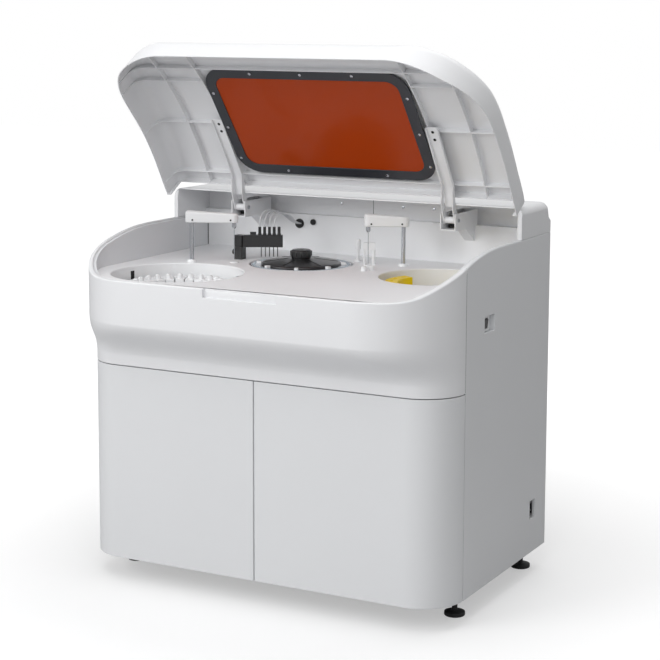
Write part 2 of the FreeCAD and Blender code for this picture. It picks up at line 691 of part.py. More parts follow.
# Door pans.
def door_parts(name):
    """The right hand door."""
    edge = "(seam_y - side_gap)"
    low = "door_bottom"
    plan = [
        ("centre_gap / 2", f"{edge} + 60"),
        ("centre_gap / 2", "seam_y - corner_low"),
        (f"{HALF} - corner_low", "seam_y - corner_low", "corner_low", 1),
        (HALF, "seam_y"),
        (HALF, f"{edge} + 60"),
    ]
    inner = [
        ("centre_gap / 2 - 5", f"{edge} + 60"),
        ("centre_gap / 2 - 5", "seam_y - corner_low + door_depth"),
        (f"{HALF} - corner_low", "seam_y - corner_low + door_depth", "corner_low - door_depth", 1),
        (f"{HALF} - door_depth", "seam_y"),
        (f"{HALF} - door_depth", f"{edge} + 60"),
    ]
    pocket = [
        ("centre_gap / 2 + door_skin", f"{edge} - door_skin"),
        ("centre_gap / 2 + door_skin", "seam_y - corner_low + door_skin"),
        (f"{HALF} - corner_low", "seam_y - corner_low + door_skin", "corner_low - door_skin", 1),
        (f"{HALF} - door_skin - 0.02", f"{edge} - door_skin"),
    ]
    block = prism(name + "_block", plan, low, "door_top")
    hollow = prism(name + "_hollow", inner, f"{low} - 1", "door_top + 1")
    pan = prism(name + "_pan", pocket, f"{low} + door_skin", "door_top - door_skin")
    behind = box(name + "_behind", ("-10", f"{HALF} + 10"), (edge, f"{edge} + 100"), (f"{low} - 2", "door_top + 2"))
    shell = cut(name + "_shell", block, hollow, pan, behind)
    lugs = []
    for end, span in LUG_SPANS.items():
        eye = rod(f"{name}_{end}_eye", EYE_R, "hinge_x", "hinge_y", span)
        web = box(f"{name}_{end}_web", (f"hinge_x - {EYE_R}", f"hinge_x + {EYE_R}"),
                  ("hinge_y - lug_reach", "hinge_y"), span)
        plate = fuse(f"{name}_{end}_lug", eye, web)
        through = (f"{span[0]} - 1", f"{span[1]} + 1")
        bore = rod(f"{name}_{end}_bore", "hinge_pin + pin_play", "hinge_x", "hinge_y", through)
        lugs.append(cut(f"{name}_{end}_bored", plate, bore))
    trim = prism(name + "_trim", pocket[:3] + [(f"{HALF} - door_skin", f"{edge} - door_skin")], low, "door_top")
    lug_group = group(name + "_lugs", *lugs)
    return fuse(name + "_door", shell, common(name + "_lug_trim", lug_group, trim))


EYE_R = "(hinge_pin + 5)"
LUG_SPANS = {
    "low": ("door_bottom", "door_bottom + lug_thick"),
    "high": ("door_top - lug_thick", "door_top"),
}
right_door = door_parts("right")
node("right_door", right_door)
node("left_door", mirrored("left_door_copy", right_door))

# Door hinges: a pin in the mechanism plate above, a bracket under the base pan below.
HINGE_WIDE = ("hinge_x - 8", "hinge_x + 8")
top_pin = rod("top_pin", "hinge_pin", "hinge_x", "hinge_y", ("door_top - lug_thick - 1", "mech_z"))
low_pin = rod("low_pin", "hinge_pin", "hinge_x", "hinge_y", ("door_bottom - 1", "door_bottom + lug_thick + 1"))
low_arm = box("low_arm", HINGE_WIDE, (f"hinge_y - {EYE_R}", "post_front_y"),
              ("door_bottom - lug_thick", "door_bottom - 0.3"))
low_foot = box("low_foot", HINGE_WIDE, ("post_front_y", "post_front_y + 36"),
               ("door_bottom - lug_thick", "door_bottom"))
right_hinges = group("right_hinges", top_pin, fuse("low_bracket", low_arm, low_foot, low_pin))
node("door_hinges", group("all_door_hinges", right_hinges, mirrored("left_hinges", right_hinges)))

# Carousel drives on the mechanism plate.
drives = []
for name, (x, y, radius, floor) in WELLS.items():
    motor = box(name + "_motor", (f"{x} - motor_half", f"{x} + motor_half"),
                (f"{y} - motor_half", f"{y} + motor_half"), (MECH_TOP, f"{MECH_TOP} + motor_tall"))
    spindle = rod(name + "_spindle", "spindle_r", x, y, (f"{MECH_TOP} + motor_tall", f"{floor} + spindle_top"))
    drives.append(fuse(name + "_drive", motor, spindle))
node("carousel_drives", group("drives", *drives))


def carousel_points(floor, rim):
    """Disc with a hub that caps its spindle, as radius and height points."""
    disc = f"({floor} + tub_wall + disc_lift)"
    cap = f"({floor} + spindle_top)"
    return [
        ("spindle_r + pin_play", disc),
        (rim, disc),
        (rim, f"{disc} + disc_thick"),
        ("hub_r", f"{disc} + disc_thick"),
        ("hub_r", f"{cap} + hub_cap"),
        ("0", f"{cap} + hub_cap"),
        ("0", cap),
        ("spindle_r + pin_play", cap),
    ]


reagent_disc = turned("reagent_disc", carousel_points("reagent_floor", "reagent_r - 6"), "reagent_x", "reagent_y")
node("reagent_carousel", reagent_disc)

# Wedge bottles standing on the reagent carousel.
SHELF = "(reagent_floor + tub_wall + disc_lift + disc_thick)"
HALF_STEP = "(180 deg / bottle_count)"
wedge_points = [
    ("bottle_in", f"-(bottle_in * tan({HALF_STEP}) - bottle_gap)"),
    ("bottle_out", f"-(bottle_out * tan({HALF_STEP}) - bottle_gap)"),
    ("bottle_out", f"bottle_out * tan({HALF_STEP}) - bottle_gap"),
    ("bottle_in", f"bottle_in * tan({HALF_STEP}) - bottle_gap"),
]
wedge = prism("bottle_wedge", wedge_points, SHELF, f"{SHELF} + bottle_tall")
cap = rod("bottle_cap", "cap_r", "(bottle_in + bottle_out) / 2 - 12", "0",
          (f"{SHELF} + bottle_tall", f"{SHELF} + bottle_tall + cap_tall"))
bottle = fuse("bottle", wedge, cap)
bottles = []
for index in range(int(val("bottle_count"))):
    bottles.append(copy_at("bottle_%02d" % index, bottle, f"{index} * 360 deg / bottle_count",
                           "reagent_x", "reagent_y"))
node("reagent_bottles", group("bottles", *bottles))

# Cuvette ring: hub, disc, drum and the ring with its seats.
DISC = "(reaction_floor + tub_wall + disc_lift)"
HUB_CAP = "(reaction_floor + spindle_top)"
cuvette_points = [
    ("spindle_r + pin_play", DISC),
    ("ring_in + 4", DISC),
    ("ring_in + 4", "ring_top - 30"),
    ("ring_out", "ring_top - 30"),
    ("ring_out", "ring_top"),
    ("ring_out - 3", "ring_top"),
    ("ring_out - 3", "ring_top - 5"),
    ("ring_out - 11", "ring_top - 5"),
    ("ring_out - 11", "ring_top"),
    ("ring_in", "ring_top"),
    ("ring_in", f"{DISC} + disc_thick"),
    ("hub_r", f"{DISC} + disc_thick"),
    ("hub_r", f"{HUB_CAP} + hub_cap"),
    ("0", f"{HUB_CAP} + hub_cap"),
    ("0", HUB_CAP),
    ("spindle_r + pin_play", HUB_CAP),
]
node("cuvette_ring", turned("ring_body", cuvette_points, "reaction_x", "reaction_y"))

# Black cover over the reaction ring, with its knob.
cover_points = [
    ("0", "ring_top + 1"),
    ("ring_in - 1", "ring_top + 1"),
    ("ring_in - 1", "ring_top"),
    ("cover_r", "ring_top"),
    ("cover_r", "ring_top + cover_lip"),
    ("cover_r - 6", "ring_top + cover_lip + 3"),
    ("knob_r + 6", "cover_crown"),
    ("knob_r - 2", "cover_crown"),
    ("knob_r", "cover_crown + 5"),
    ("knob_r", "knob_top - 3"),
    ("knob_r - 3", "knob_top"),
    ("0", "knob_top"),
]
node("reaction_cover", turned("cover_body", cover_points, "reaction_x", "reaction_y"))

# Clips that hold the cover down.
clip = box("clip", ("cover_r + 0.3", "ring_out - 14"), ("-5", "5"), ("ring_top", "ring_top + 6"))
clips = []
for index in range(8):
    clips.append(copy_at("clip_%d" % index, clip, f"{22.5 + 45 * index} * 1 deg", "reaction_x", "reaction_y"))
node("ring_clips", group("clips", *clips))

# Sample carousel and its adapters.
sample_disc = turned("sample_disc", carousel_points("sample_floor", "sample_r - 6"), "sample_x", "sample_y")
node("sample_carousel", sample_disc)
SAMPLE_SHELF = "(sample_floor + tub_wall + disc_lift + disc_thick)"


def sector(name, start, stop, count):
    """A ring segment with a row of sample holes, about the well centre."""
    low, high = (f"({angle} * 1 deg)" for angle in (start, stop))
    points = [
        (f"adapter_in * cos({high})", f"adapter_in * sin({high})", "adapter_in", -1),
        (f"adapter_in * cos({low})", f"adapter_in * sin({low})"),
        (f"adapter_out * cos({low})", f"adapter_out * sin({low})", "adapter_out", 1),
        (f"adapter_out * cos({high})", f"adapter_out * sin({high})"),
    ]
    block = prism(name + "_block", points, SAMPLE_SHELF, "adapter_top")
    holes = []
    for index in range(count):
        angle = f"({start + (stop - start) * (index + 0.5) / count} * 1 deg)"
        holes.append(rod(f"{name}_hole_{index}", "cup_hole", f"(adapter_in + adapter_out) / 2 * cos({angle})",
                         f"(adapter_in + adapter_out) / 2 * sin({angle})", ("adapter_top - 40", "adapter_top + 1")))
    return copy_at(name, cut(name + "_cut", block, *holes), "0", "sample_x", "sample_y")


SECTORS = ((152, 208, 3), (212, 268, 3), (10, 28, 1), (34, 52, 1), (58, 76, 1))
adapters = [sector("adapter_%d" % index, *spans) for index, spans in enumerate(SECTORS)]
node("sample_adapters", group("adapters", *adapters))


# Posts, guides and probe arms.
def guide(name, x, y):
    """A guide bush through the deck with a white collar on top."""
    bore = "post_r + pin_play"
    points = [
        (bore, "guide_foot"),
        ("guide_r", "guide_foot"),
        ("guide_r", "deck_top"),
        ("collar_r + 3", "deck_top"),
        ("collar_r", "deck_top + collar_tall"),
        (bore, "deck_top + collar_tall"),
    ]
    return turned(name, points, x, y)


stir_guide = [
    ("stir_r + pin_play", "stir_foot - 5"),
    ("stir_bush", "stir_foot - 5"),
    ("stir_bush", "deck_top"),
    ("stir_bush + 2", "deck_top"),
    ("stir_bush + 2", "deck_top + 5"),
    ("stir_r + pin_play", "deck_top + 5"),
]
node("post_guides", group("guides", guide("left_guide", "lpost_x", "lpost_y"), guide("right_guide", "rpost_x", "rpost_y"),
                          turned("stirrer_guide", stir_guide, "stir_x", "stir_y")))


def post(label, x, y, low):
    """A steel lift post that ends inside its arm."""
    return node(label, rod(label + "_rod", "post_r", x, y, ("post_foot", f"{low} + 20")))


def arm_plan(reach, square):
    """Arm outline along its own x axis, from the post at zero to the needle."""
    nose = f"({reach} + arm_nose)"
    if square:
        return [
            ("-arm_tail", "-arm_half"),
            (f"{nose} - arm_half", "-arm_half", "arm_half", 1),
            (nose, "0", "arm_half", 1),
            (f"{nose} - arm_half", "arm_half"),
            ("-arm_tail", "arm_half"),
        ]
    return [
        ("-arm_tail + arm_half", "-arm_half"),
        (f"{nose} - arm_half", "-arm_half", "arm_half", 1),
        (nose, "0", "arm_half", 1),
        (f"{nose} - arm_half", "arm_half"),
        ("-arm_tail + arm_half", "arm_half", "arm_half", 1),
        ("-arm_tail", "0", "arm_half", 1),
    ]


def probe(side, spot, levels, reach, turn, tip, square):
    """One probe arm with its nozzle and needle."""
    low, high = levels
    shell = prism(side + "_arm_block", arm_plan(reach, square), low, high)
    soft = rounded(side + "_arm_soft", shell, "arm_half / 2", lambda m, e: abs(m.z - val(high)) < 0.01)
    socket = rod(side + "_arm_socket", "post_r + pin_play", "0", "0", (f"{low} - 1", f"{low} + 20.2"))
    arm = cut(side + "_arm_cut", soft, socket)
    nozzle = turned(side + "_nozzle", [
        ("0", f"{low} - nozzle_tall"),
        ("nozzle_r - 3", f"{low} - nozzle_tall"),
        ("nozzle_r", f"{low} - nozzle_tall + 5"),
        ("nozzle_r", low),
        ("0", low),
    ], reach)
    needle = rod(side + "_needle", "needle_r", reach, "0", (tip, f"{low} - nozzle_tall"))
    angle = f"{turn} * 1 deg"
    node(side + "_arm", copy_at(side + "_arm_turned", arm, angle, *spot))
    node(side + "_probe", copy_at(side + "_probe_turned", fuse(side + "_probe_whole", nozzle, needle), angle, *spot))


post("reagent_post", "lpost_x", "lpost_y", "larm_low")
probe("reagent", ("lpost_x", "lpost_y"), ("larm_low", "larm_top"), "larm_reach", "larm_turn", "lneedle_z", True)
post("sample_post", "rpost_x", "rpost_y", "rarm_low")
probe("sample", ("rpost_x", "rpost_y"), ("rarm_low", "rarm_top"), "rarm_reach", "rarm_turn", "rneedle_z", False)


# Rinse cups under the parked needles.
def rinse_cup(name, spot, lift):
    """An open cup through the deck."""
    points = [
        ("0", "rinse_foot"),
        ("rinse_r", "rinse_foot"),
        ("rinse_r", "deck_top"),
        ("rinse_r + 2", "deck_top"),
        ("rinse_r + 2", f"deck_top + {lift}"),
        ("rinse_bore", f"deck_top + {lift}"),
        ("rinse_bore", "rinse_foot + 2"),
        ("0", "rinse_foot + 2"),
    ]
    return turned(name, points, *spot)


node("rinse_cups", group("cups", rinse_cup("left_cup", LEFT_TIP, "3"), rinse_cup("right_cup", RIGHT_TIP, "3")))

# Bracket behind the sample needle, two legs and a bar, and two small cups.
bar_solid = box("bracket_bar", ("-15", "17"), ("-5", "5"), ("bracket_low", "bracket_low + 18"))
bracket_leg = rod("bracket_leg", "5", "12", "0", ("deck_top", "bracket_low"))
bracket_pin = rod("bracket_pin", "2.5", "-12", "0", ("deck_top", "bracket_low"))
bracket_whole = fuse("bracket_whole", bar_solid, bracket_leg, bracket_pin)
node("rinse_bracket", copy_at("bracket_turned", bracket_whole, "rarm_turn * 1 deg - 180 deg", "bracket_x", "bracket_y"))
small_cup = [("0", "deck_top"), ("7", "deck_top"), ("7", "deck_top + 12"), ("5", "deck_top + 12"),
             ("5", "deck_top + 3"), ("0", "deck_top + 3")]
node("control_cups", group("small_cups", turned("small_cup_1", small_cup, "127", "70"),
                           turned("small_cup_2", small_cup, "138", "92")))

# Wash station: fixed column with a guide bore, head on a slide rod.
WASH_X = ("wash_x - wash_half", "wash_x + wash_half")
WASH_Y = ("wash_y - wash_half", "wash_y + wash_half")
column_block = box("column_block", WASH_X, WASH_Y, ("deck_top", "wash_top"))
column_bore = rod("column_bore", "slide_r + pin_play", "wash_x", "wash_y", ("deck_top + 3", "wash_top + 1"))
column_knob = rod("column_knob", "7", ("wash_x - wash_half - 9", "wash_x - wash_half"), "wash_y", "829", "x")
node("wash_column", fuse("wash_column_whole", cut("column_cut", column_block, column_bore), column_knob))
HEAD_LOW = "(wash_top + 0.3)"
head_rod = rod("head_rod", "slide_r", "wash_x", "wash_y", ("deck_top + 4", HEAD_LOW))
head_cap = box("head_cap", WASH_X, WASH_Y, (HEAD_LOW, "wash_top + 33"))
bar_block = box("bar_block", ("0", "112"), ("-8", "8"), (HEAD_LOW, "wash_top + 33"))
bar_turned = copy_at("bar_turned", bar_block, "28 * 1 deg", "wash_x + 4", "wash_y")
fin = box("fin", ("24", "40"), ("-3", "3"), ("wash_top + 32", "wash_top + 41"))
fin_turned = copy_at("fin_turned", fin, "28 * 1 deg", "wash_x + 4", "wash_y")
teeth = []
needles = []
for index in range(5):
    tooth = rod("tooth_%d" % index, "4", f"{50 + 13 * index}", "0", ("wash_top + 33", "wash_top + 55"))
    teeth.append(copy_at("tooth_at_%d" % index, tooth, "28 * 1 deg", "wash_x + 4", "wash_y"))
    thin = rod("thin_%d" % index, "1.2", f"{54 + 11 * index}", "0", ("ring_top + 9", HEAD_LOW))
    needles.append(copy_at("thin_at_%d" % index, thin, "28 * 1 deg", "wash_x + 4", "wash_y"))
head_solid = fuse("wash_head_whole", head_rod, head_cap, bar_turned, fin_turned, *teeth, *needles)
node("wash_head", head_solid)

# Stirrer: the rod with its head.
stir_points = [
    ("0", "stir_foot"),
    ("stir_r", "stir_foot"),
    ("stir_r", "stir_neck"),
    ("2 * stir_r", "stir_neck"),
    ("2 * stir_r", "stir_neck + 23"),
    ("stir_r + 1", "stir_neck + 27"),
    ("0", "stir_neck + 27"),
]
node("stirrer", turned("stir_rod", stir_points, "stir_x", "stir_y"))


# Hinge housings on the back wall.
def housing(name):
    """A U channel with a corbel, right hand."""
    low = "arm_x - housing_half"
    high = "arm_x + housing_half"
    outer = box(name + "_outer", (low, high), ("housing_front", "wall_y"), ("housing_low", "housing_high"))
    inner = box(name + "_inner", (f"{low} + sheet", f"{high} - sheet"), ("housing_front - 5", "wall_y - sheet"),
                ("housing_low + sheet", "housing_high + 5"))
    corbel = side_prism(name + "_corbel", [
        ("wall_y", "housing_low"), ("wall_y - 60", "housing_low"), ("wall_y", "housing_low - 42")],
        f"{low} + 8", f"{high} - 8")
    pin_hole = rod(name + "_hole", "lid_pin", (f"{low} - 1", f"{high} + 1"), "pivot_y", "pivot_z", "x")
    return cut(name, fuse(name + "_whole", outer, corbel), inner, pin_hole)


right_housing = housing("right_housing")
node("hinge_housings", group("housings", right_housing, mirrored("left_housing", right_housing)))
right_pin = rod("right_pin", "lid_pin", ("arm_x - housing_half - 2", "arm_x + housing_half + 2"),
                "pivot_y", "pivot_z", "x")
node("lid_pivot_pins", group("pivot_pins", right_pin, mirrored("left_pin", right_pin)))


# Lid, drawn closed and then swung open about its pivot.
def lid_height(y):
    """Height of the lid's top at a depth."""
    sine = "((crown_y - seam_y + corner_high - nose_r) / (crown_r - nose_r))"
    joint_y = f"({FRONT} + nose_r * (1 - {sine}))"
    nose_z = f"(crown_z - crown_r + crown_r * sqrt(1 - {sine}^2) - nose_r * sqrt(1 - {sine}^2))"
    if val(y) < val(joint_y):
        return f"({nose_z} + sqrt(nose_r^2 - ({FRONT} + nose_r - {y})^2))"
    if val(y) < val("crown_y"):
        return f"(crown_z - crown_r + sqrt(crown_r^2 - (crown_y - {y})^2))"
    return "crown_z"


def lid_form(name, inset, drop):
    """The crowned lid as a solid, set in by a wall and dropped at the top."""
    body = doc.addObject("PartDesign::Body", name)
    sections = []
    stations = []
    for angle in range(0, 91, 15):
        outer_y = f"(seam_y - corner_high * cos({angle} deg))"
        inner_y = f"(seam_y - (corner_high - ({inset})) * cos({angle} deg))"
        inner_x = f"({HALF} - corner_high + (corner_high - ({inset})) * sin({angle} deg))"
        stations.append((outer_y, inner_y, inner_x))
    side = f"({HALF} - ({inset}))"
    stations += [(y, y, side) for y in ("(seam_y / 2)", "0", "crown_y")]
    stations.append(("lid_rear_y", f"(lid_rear_y - ({inset}))", side))
    softs = [0.2, 0.45, 0.7, 0.85, 1, 1, 1, 1, 1, 1, 1]
    for (outer_y, y, wide), share in zip(stations, softs):
        top = f"({lid_height(outer_y)} - ({drop}))"
        soft = f"(side_soft * {share})"
        points = [
            (f"-{wide}", "deck_top - 15"),
            (f"-{wide}", f"{top} - {soft}", soft, -1),
            (f"-({wide} - {soft})", top),
            (f"{wide} - {soft}", top, soft, -1),
            (wide, f"{top} - {soft}"),
            (wide, "deck_top - 15"),
        ]
        sections.append(outline(body, "XZ_Plane", points, f"-{y}"))
    loft = body.newObject("PartDesign::AdditiveLoft", name + "_loft")
    loft.Profile = sections[0]
    loft.Sections = sections[1:]
    return body


lid_outer = lid_form("lid_outer", "0", "0")
lid_inner = lid_form("lid_inner", "lid_skin", "lid_skin")
lid_floor = lid_form("lid_floor", "lid_skin + 2", "lid_skin + rib_deep")
below_rim = rim_edge("below_rim", "lid_gap", True)

WIN_LEFT = "(window_x - window_half)"
WIN_RIGHT = "(window_x + window_half)"


def window_plan(grow):
    """Rounded window outline, grown by a margin."""
    left, right = f"({WIN_LEFT} - ({grow}))", f"({WIN_RIGHT} + ({grow}))"
    front, rear = f"(window_front - ({grow}))", f"(window_rear + ({grow}))"
    soft = f"(window_soft + ({grow}))"
    return [
        (f"{left} + {soft}", front),
        (f"{right} - {soft}", front, soft, 1),
        (right, f"{front} + {soft}"),
        (right, f"{rear} - {soft}", soft, 1),
        (f"{right} - {soft}", rear),
        (f"{left} + {soft}", rear, soft, 1),
        (left, f"{rear} - {soft}"),
        (left, f"{front} + {soft}", soft, 1),
    ]


RIB_Z = ("mech_z", TALL)


def cross_rib(name, y, x_low, x_high):
    """A rib across the lid."""
    return box(name, (x_low, x_high), (f"{y} - rib_thick / 2", f"{y} + rib_thick / 2"), RIB_Z)


def long_rib(name, x):
    """A rib from front to rear."""
    span = (f"{x} - rib_thick / 2", f"{x} + rib_thick / 2")
    return box(name, span, (f"{FRONT} - 20", "lid_rear_y + 20"), RIB_Z)


GRID_LEFT = f"({WIN_LEFT} - bezel_wide - 6)"
GRID_RIGHT = f"({WIN_RIGHT} + bezel_wide + 6)"
WIDE = (f"-({HALF} + 20)", f"({HALF} + 20)")
rib_blocks = [
    long_rib("rib_l1", f"-({HALF} - rib_inset)"), long_rib("rib_l2", GRID_LEFT),
    long_rib("rib_r1", f"({HALF} - rib_inset)"), long_rib("rib_r2", GRID_RIGHT),
    cross_rib("rib_c1", "-217", WIDE[0], GRID_LEFT), cross_rib("rib_c2", "-62", WIDE[0], GRID_LEFT),
    cross_rib("rib_c3", "-217", GRID_RIGHT, WIDE[1]), cross_rib("rib_c4", "-62", GRID_RIGHT, WIDE[1]),
    cross_rib("rib_c5", "108", *WIDE), cross_rib("rib_c6", "(window_front - bezel_wide - 6)", *WIDE),
]
rib_grid = cut("rib_grid", fuse("rib_blocks", *rib_blocks), lid_floor)


def tilted(name, source):
    """Lay a flat piece drawn at height zero on the window plane."""
    item = group(name, source)
    item.Placement = FreeCAD.Placement(V(0, 0, 0), FreeCAD.Rotation(X_AXIS, 10))
    tie(item, "Placement.Rotation.Angle", "window_tilt * 1 deg")
    return place(item, "0", "0", "window_z")


# The wall round the window, from the lid down to the frame.
curb_outer = prism("curb_outer", window_plan("rib_thick"), "mech_z", TALL)
window_hole = prism("window_hole", window_plan("0"), "mech_z - 10", f"{TALL} + 10")
under_plane = box("under_plane", WIDE, (f"{FRONT} - 100", "rear_y"), ("-200", "bezel_thick"))
curb = cut("curb", curb_outer, window_hole, tilted("under_plane_tilted", under_plane))
lid_hollow = cut("lid_hollow", lid_inner, rib_grid, curb)
rear_opening = box("rear_opening", (f"-{RIM_X}", RIM_X), ("lid_rear_y - 10", "lid_rear_y + 10"),
                   ("deck_top - 30", "crown_z - 25"))
lid_raw = cut("lid_raw", lid_outer, lid_hollow, window_hole, below_rim, rear_opening)


def opened(label, item):
    """Swing a finished lid piece from closed to its resting open place."""
    swung = group(label + "_open", item)
    swung.Placement = FreeCAD.Placement(V(0, 0, 0), FreeCAD.Rotation(V(-1, 0, 0), 10))
    turn = "open_angle * 1 deg"
    tie(swung, "Placement.Rotation.Angle", "open_angle * 1 deg")
    place(swung, "0", f"pivot_y - pivot_y * cos({turn}) - pivot_z * sin({turn})",
          f"pivot_z + pivot_y * sin({turn}) - pivot_z * cos({turn})")
    return node(label, swung)


opened("lid_shell", lid_raw)

# Window frame and pane on the tilted plane.
frame_ring = cut("frame_ring", prism("frame_outer", window_plan("bezel_wide"), "0", "bezel_thick"),
                 prism("frame_hole", window_plan("-2"), "-1", "bezel_thick + 1"),
                 prism("frame_seat", window_plan("-0.2"), "bezel_thick - pane_thick", "bezel_thick + 1"))
opened("window_frame", tilted("frame_tilted", frame_ring))
pane = prism("pane", window_plan("-0.4"), "bezel_thick - pane_thick", "bezel_thick")
opened("lid_window", tilted("pane_tilted", pane))


# Lid arms, folded channels with an eye at the pivot.
def lid_arm(name):
    """The right hand lid arm, closed."""
    rib_floor = "(crown_z - lid_skin - rib_deep - 0.3)"
    front_top = f"({rib_floor} - crown_r + sqrt(crown_r^2 - (crown_y - arm_front_y)^2))"
    top_line = [
        ("arm_bend_y + 54", "pivot_z + 14"),
        ("arm_bend_y + 28", "pivot_z + 24"),
        ("arm_bend_y", rib_floor),
        ("arm_front_y", front_top),
    ]
    cheek_points = [
        ("arm_front_y", f"{front_top} - arm_deep"),
        ("arm_bend_y - 4", f"{rib_floor} - arm_deep - 2"),
        ("arm_bend_y + 42", "pivot_z - 2"),
        ("pivot_y", "pivot_z - hub_ring"),
        ("pivot_y", "pivot_z + hub_ring"),
        *top_line,
    ]
    web_points = [*top_line, *((y, f"{z} - arm_sheet") for y, z in reversed(top_line))]
    cheeks = []
    for index, start in enumerate(("arm_x - arm_wide / 2", "arm_x + arm_wide / 2 - arm_sheet")):
        span = (start, f"{start} + arm_sheet")
        cheek = side_prism(f"{name}_cheek_{index}", cheek_points, *span)
        eye = rod(f"{name}_eye_{index}", "hub_ring", span, "pivot_y", "pivot_z", "x")
        cheeks.append(fuse(f"{name}_side_{index}", cheek, eye))
    web = side_prism(name + "_web", web_points, "arm_x - arm_wide / 2", "arm_x + arm_wide / 2")
    across = ("arm_x - arm_wide / 2", "arm_x + arm_wide / 2")
    barrel = rod(name + "_barrel", "hub_ring - 3", across, "pivot_y", "pivot_z", "x")
    past = ("arm_x - arm_wide", "arm_x + arm_wide")
    bore = rod(name + "_bore", "lid_pin + pin_play", past, "pivot_y", "pivot_z", "x")
    return cut(name, fuse(name + "_whole", *cheeks, web, barrel), bore, rib_grid)


right_lid_arm = lid_arm("right_arm_closed")
opened("right_lid_arm", right_lid_arm)
opened("left_lid_arm", mirrored("left_arm_closed", right_lid_arm))

# Switch and inlet in the right side recesses.
plate_x = f"({HALF} - recess_deep)"
PIVOT_X = f"({plate_x} + 7)"
ROCKER_Y = ("switch_y - 19", "switch_y + 3")
bezel = box("switch_plate", (plate_x, f"{plate_x} + 8"), ("switch_y - switch_wide / 2 + 2", "switch_y + 14"),
            ("switch_z - switch_tall / 2 + 2", "switch_z + switch_tall / 2 - 2"))
well = box("switch_well", (f"{plate_x} + 1", f"{plate_x} + 10"), ("switch_y - 20", "switch_y + 4"),
           ("switch_z - rocker_half - 1.5", "switch_z + rocker_half + 1.5"))
pivot_hole = rod("pivot_hole", "1.5 + pin_play", PIVOT_X, ("switch_y - 23", "switch_y + 7"), "switch_z", "y")
node("switch_bezel", cut("switch_cut", bezel, well, pivot_hole))
rocker_key = box("rocker_key", ("-3", "3"), ROCKER_Y, ("-rocker_half", "rocker_half"))
rocker_pin = rod("rocker_pin", "1.5", "0", ("switch_y - 22", "switch_y + 6"), "0", "y")
rocker = group("rocker_tilted", fuse("rocker", rocker_key, rocker_pin))
rocker.Placement = FreeCAD.Placement(V(0, 0, 0), FreeCAD.Rotation(Y_AXIS, 5))
tie(rocker, "Placement.Rotation.Angle", "rocker_tilt * 1 deg")
node("power_rocker", place(rocker, PIVOT_X, "0", "switch_z"))
inlet = box("inlet_block", (plate_x, f"{plate_x} + 10"), ("inlet_y - 14", "inlet_y + 14"), ("inlet_z - 20", "inlet_z + 20"))
inlet_cut = box("inlet_cut", (f"{plate_x} + 3", f"{plate_x} + 11"), ("inlet_y - 10", "inlet_y + 10"),
                ("inlet_z - 14", "inlet_z + 14"))
node("power_inlet", cut("inlet_shape", inlet, inlet_cut))

# Bottles, supply and pumps in the lower bays.
def canister(label, x, y):
    """A square canister with its neck, standing in the left bay."""
    wide = (f"{x} - can_wide / 2", f"{x} + can_wide / 2")
    deep = (f"{y} - can_deep / 2", f"{y} + can_deep / 2")
    block = box(label + "_block", wide, deep, (BASE_TOP, f"{BASE_TOP} + can_tall"))
    soft = rounded(label + "_soft", block, "can_soft", lambda m, e: e.BoundBox.ZLength > val("can_tall") / 2)
    neck = rod(label + "_neck", "can_neck", x, f"{y} - can_deep / 4", (f"{BASE_TOP} + can_tall", f"{BASE_TOP} + can_tall + 35"))
    return node(label, fuse(label + "_whole", soft, neck))


canister("rinse_water_bottle", "-340", "can_y")
canister("waste_bottle", "-150", "can_y")
node("power_supply", box("supply", ("120", "420"), ("60", "300"), (BASE_TOP, f"{BASE_TOP} + 140")))
node("pump_shelf", box("shelf", ("1", f"{LEG_X[0]}"), ("0", BACK_Y[0]), ("shelf_z", "shelf_z + sheet")))
PUMP_LOW = "(shelf_z + sheet)"
pumps = []
for index in range(4):
    middle = f"pump_pitch * {index + 1}"
    body_box = box("pump_box_%d" % index, (f"{middle} - pump_half", f"{middle} + pump_half"), ("20", "120"),
                   (PUMP_LOW, f"{PUMP_LOW} + pump_tall"))
    barrel = rod("pump_barrel_%d" % index, "9", middle, "8", (f"{PUMP_LOW} + 40", f"{PUMP_LOW} + 110"))
    clamp = box("pump_clamp_%d" % index, (f"{middle} - 12", f"{middle} + 12"), ("-4", "20"),
                (f"{PUMP_LOW} + 32", f"{PUMP_LOW} + 40"))
    pumps.append(fuse("pump_%d" % index, body_box, barrel, clamp))
node("syringe_pumps", group("pumps", *pumps))

# Grommet in the back wall and the wash tubes.
grommet = rod("grommet_disc", "13", "-200", ("wall_y - 4", "wall_y"), "888", "y")
elbow = rod("elbow_disc", "8", "-157", ("wall_y - 4", "wall_y"), "894", "y")
node("tube_grommets", group("grommets", grommet, elbow))


def hose(label, points):
    """A tube along straight runs joined by the largest tangent arcs."""
    radius = val("hose_r")
    edges = []
    start = points[0]
    for before, corner, after in zip(points, points[1:], points[2:]):
        run_in = corner - before
        run_out = after - corner
        turn = run_in.getAngle(run_out)
        shorter = min(run_in.Length, run_out.Length)
        reach = 0.45 * shorter
        bend = reach / math.tan(turn / 2)
        print(label, "bend radius %.1f" % bend)
        first = corner - run_in.normalize() * reach
        last = corner + run_out.normalize() * reach
        inward = ((first + last) * 0.5 - corner).normalize()
        middle = corner + inward * (bend / math.cos(turn / 2) - bend)
        edges.append(Part.LineSegment(start, first).toShape())
        edges.append(Part.Arc(first, middle, last).toShape())
        start = last
    edges.append(Part.LineSegment(start, points[-1]).toShape())
    path = Part.Wire(edges)
    ahead = (points[1] - points[0]).normalize()
    ring_wire = Part.Wire([Part.Circle(points[0], ahead, radius).toShape()])
    item = doc.addObject("Part::Feature", label + "_sweep")
    item.Shape = path.makePipeShell([ring_wire], True, False)
    print(label, "volume ratio %.4f" % (item.Shape.Volume / (math.pi * radius ** 2 * path.Length)))
    return node(label, item)


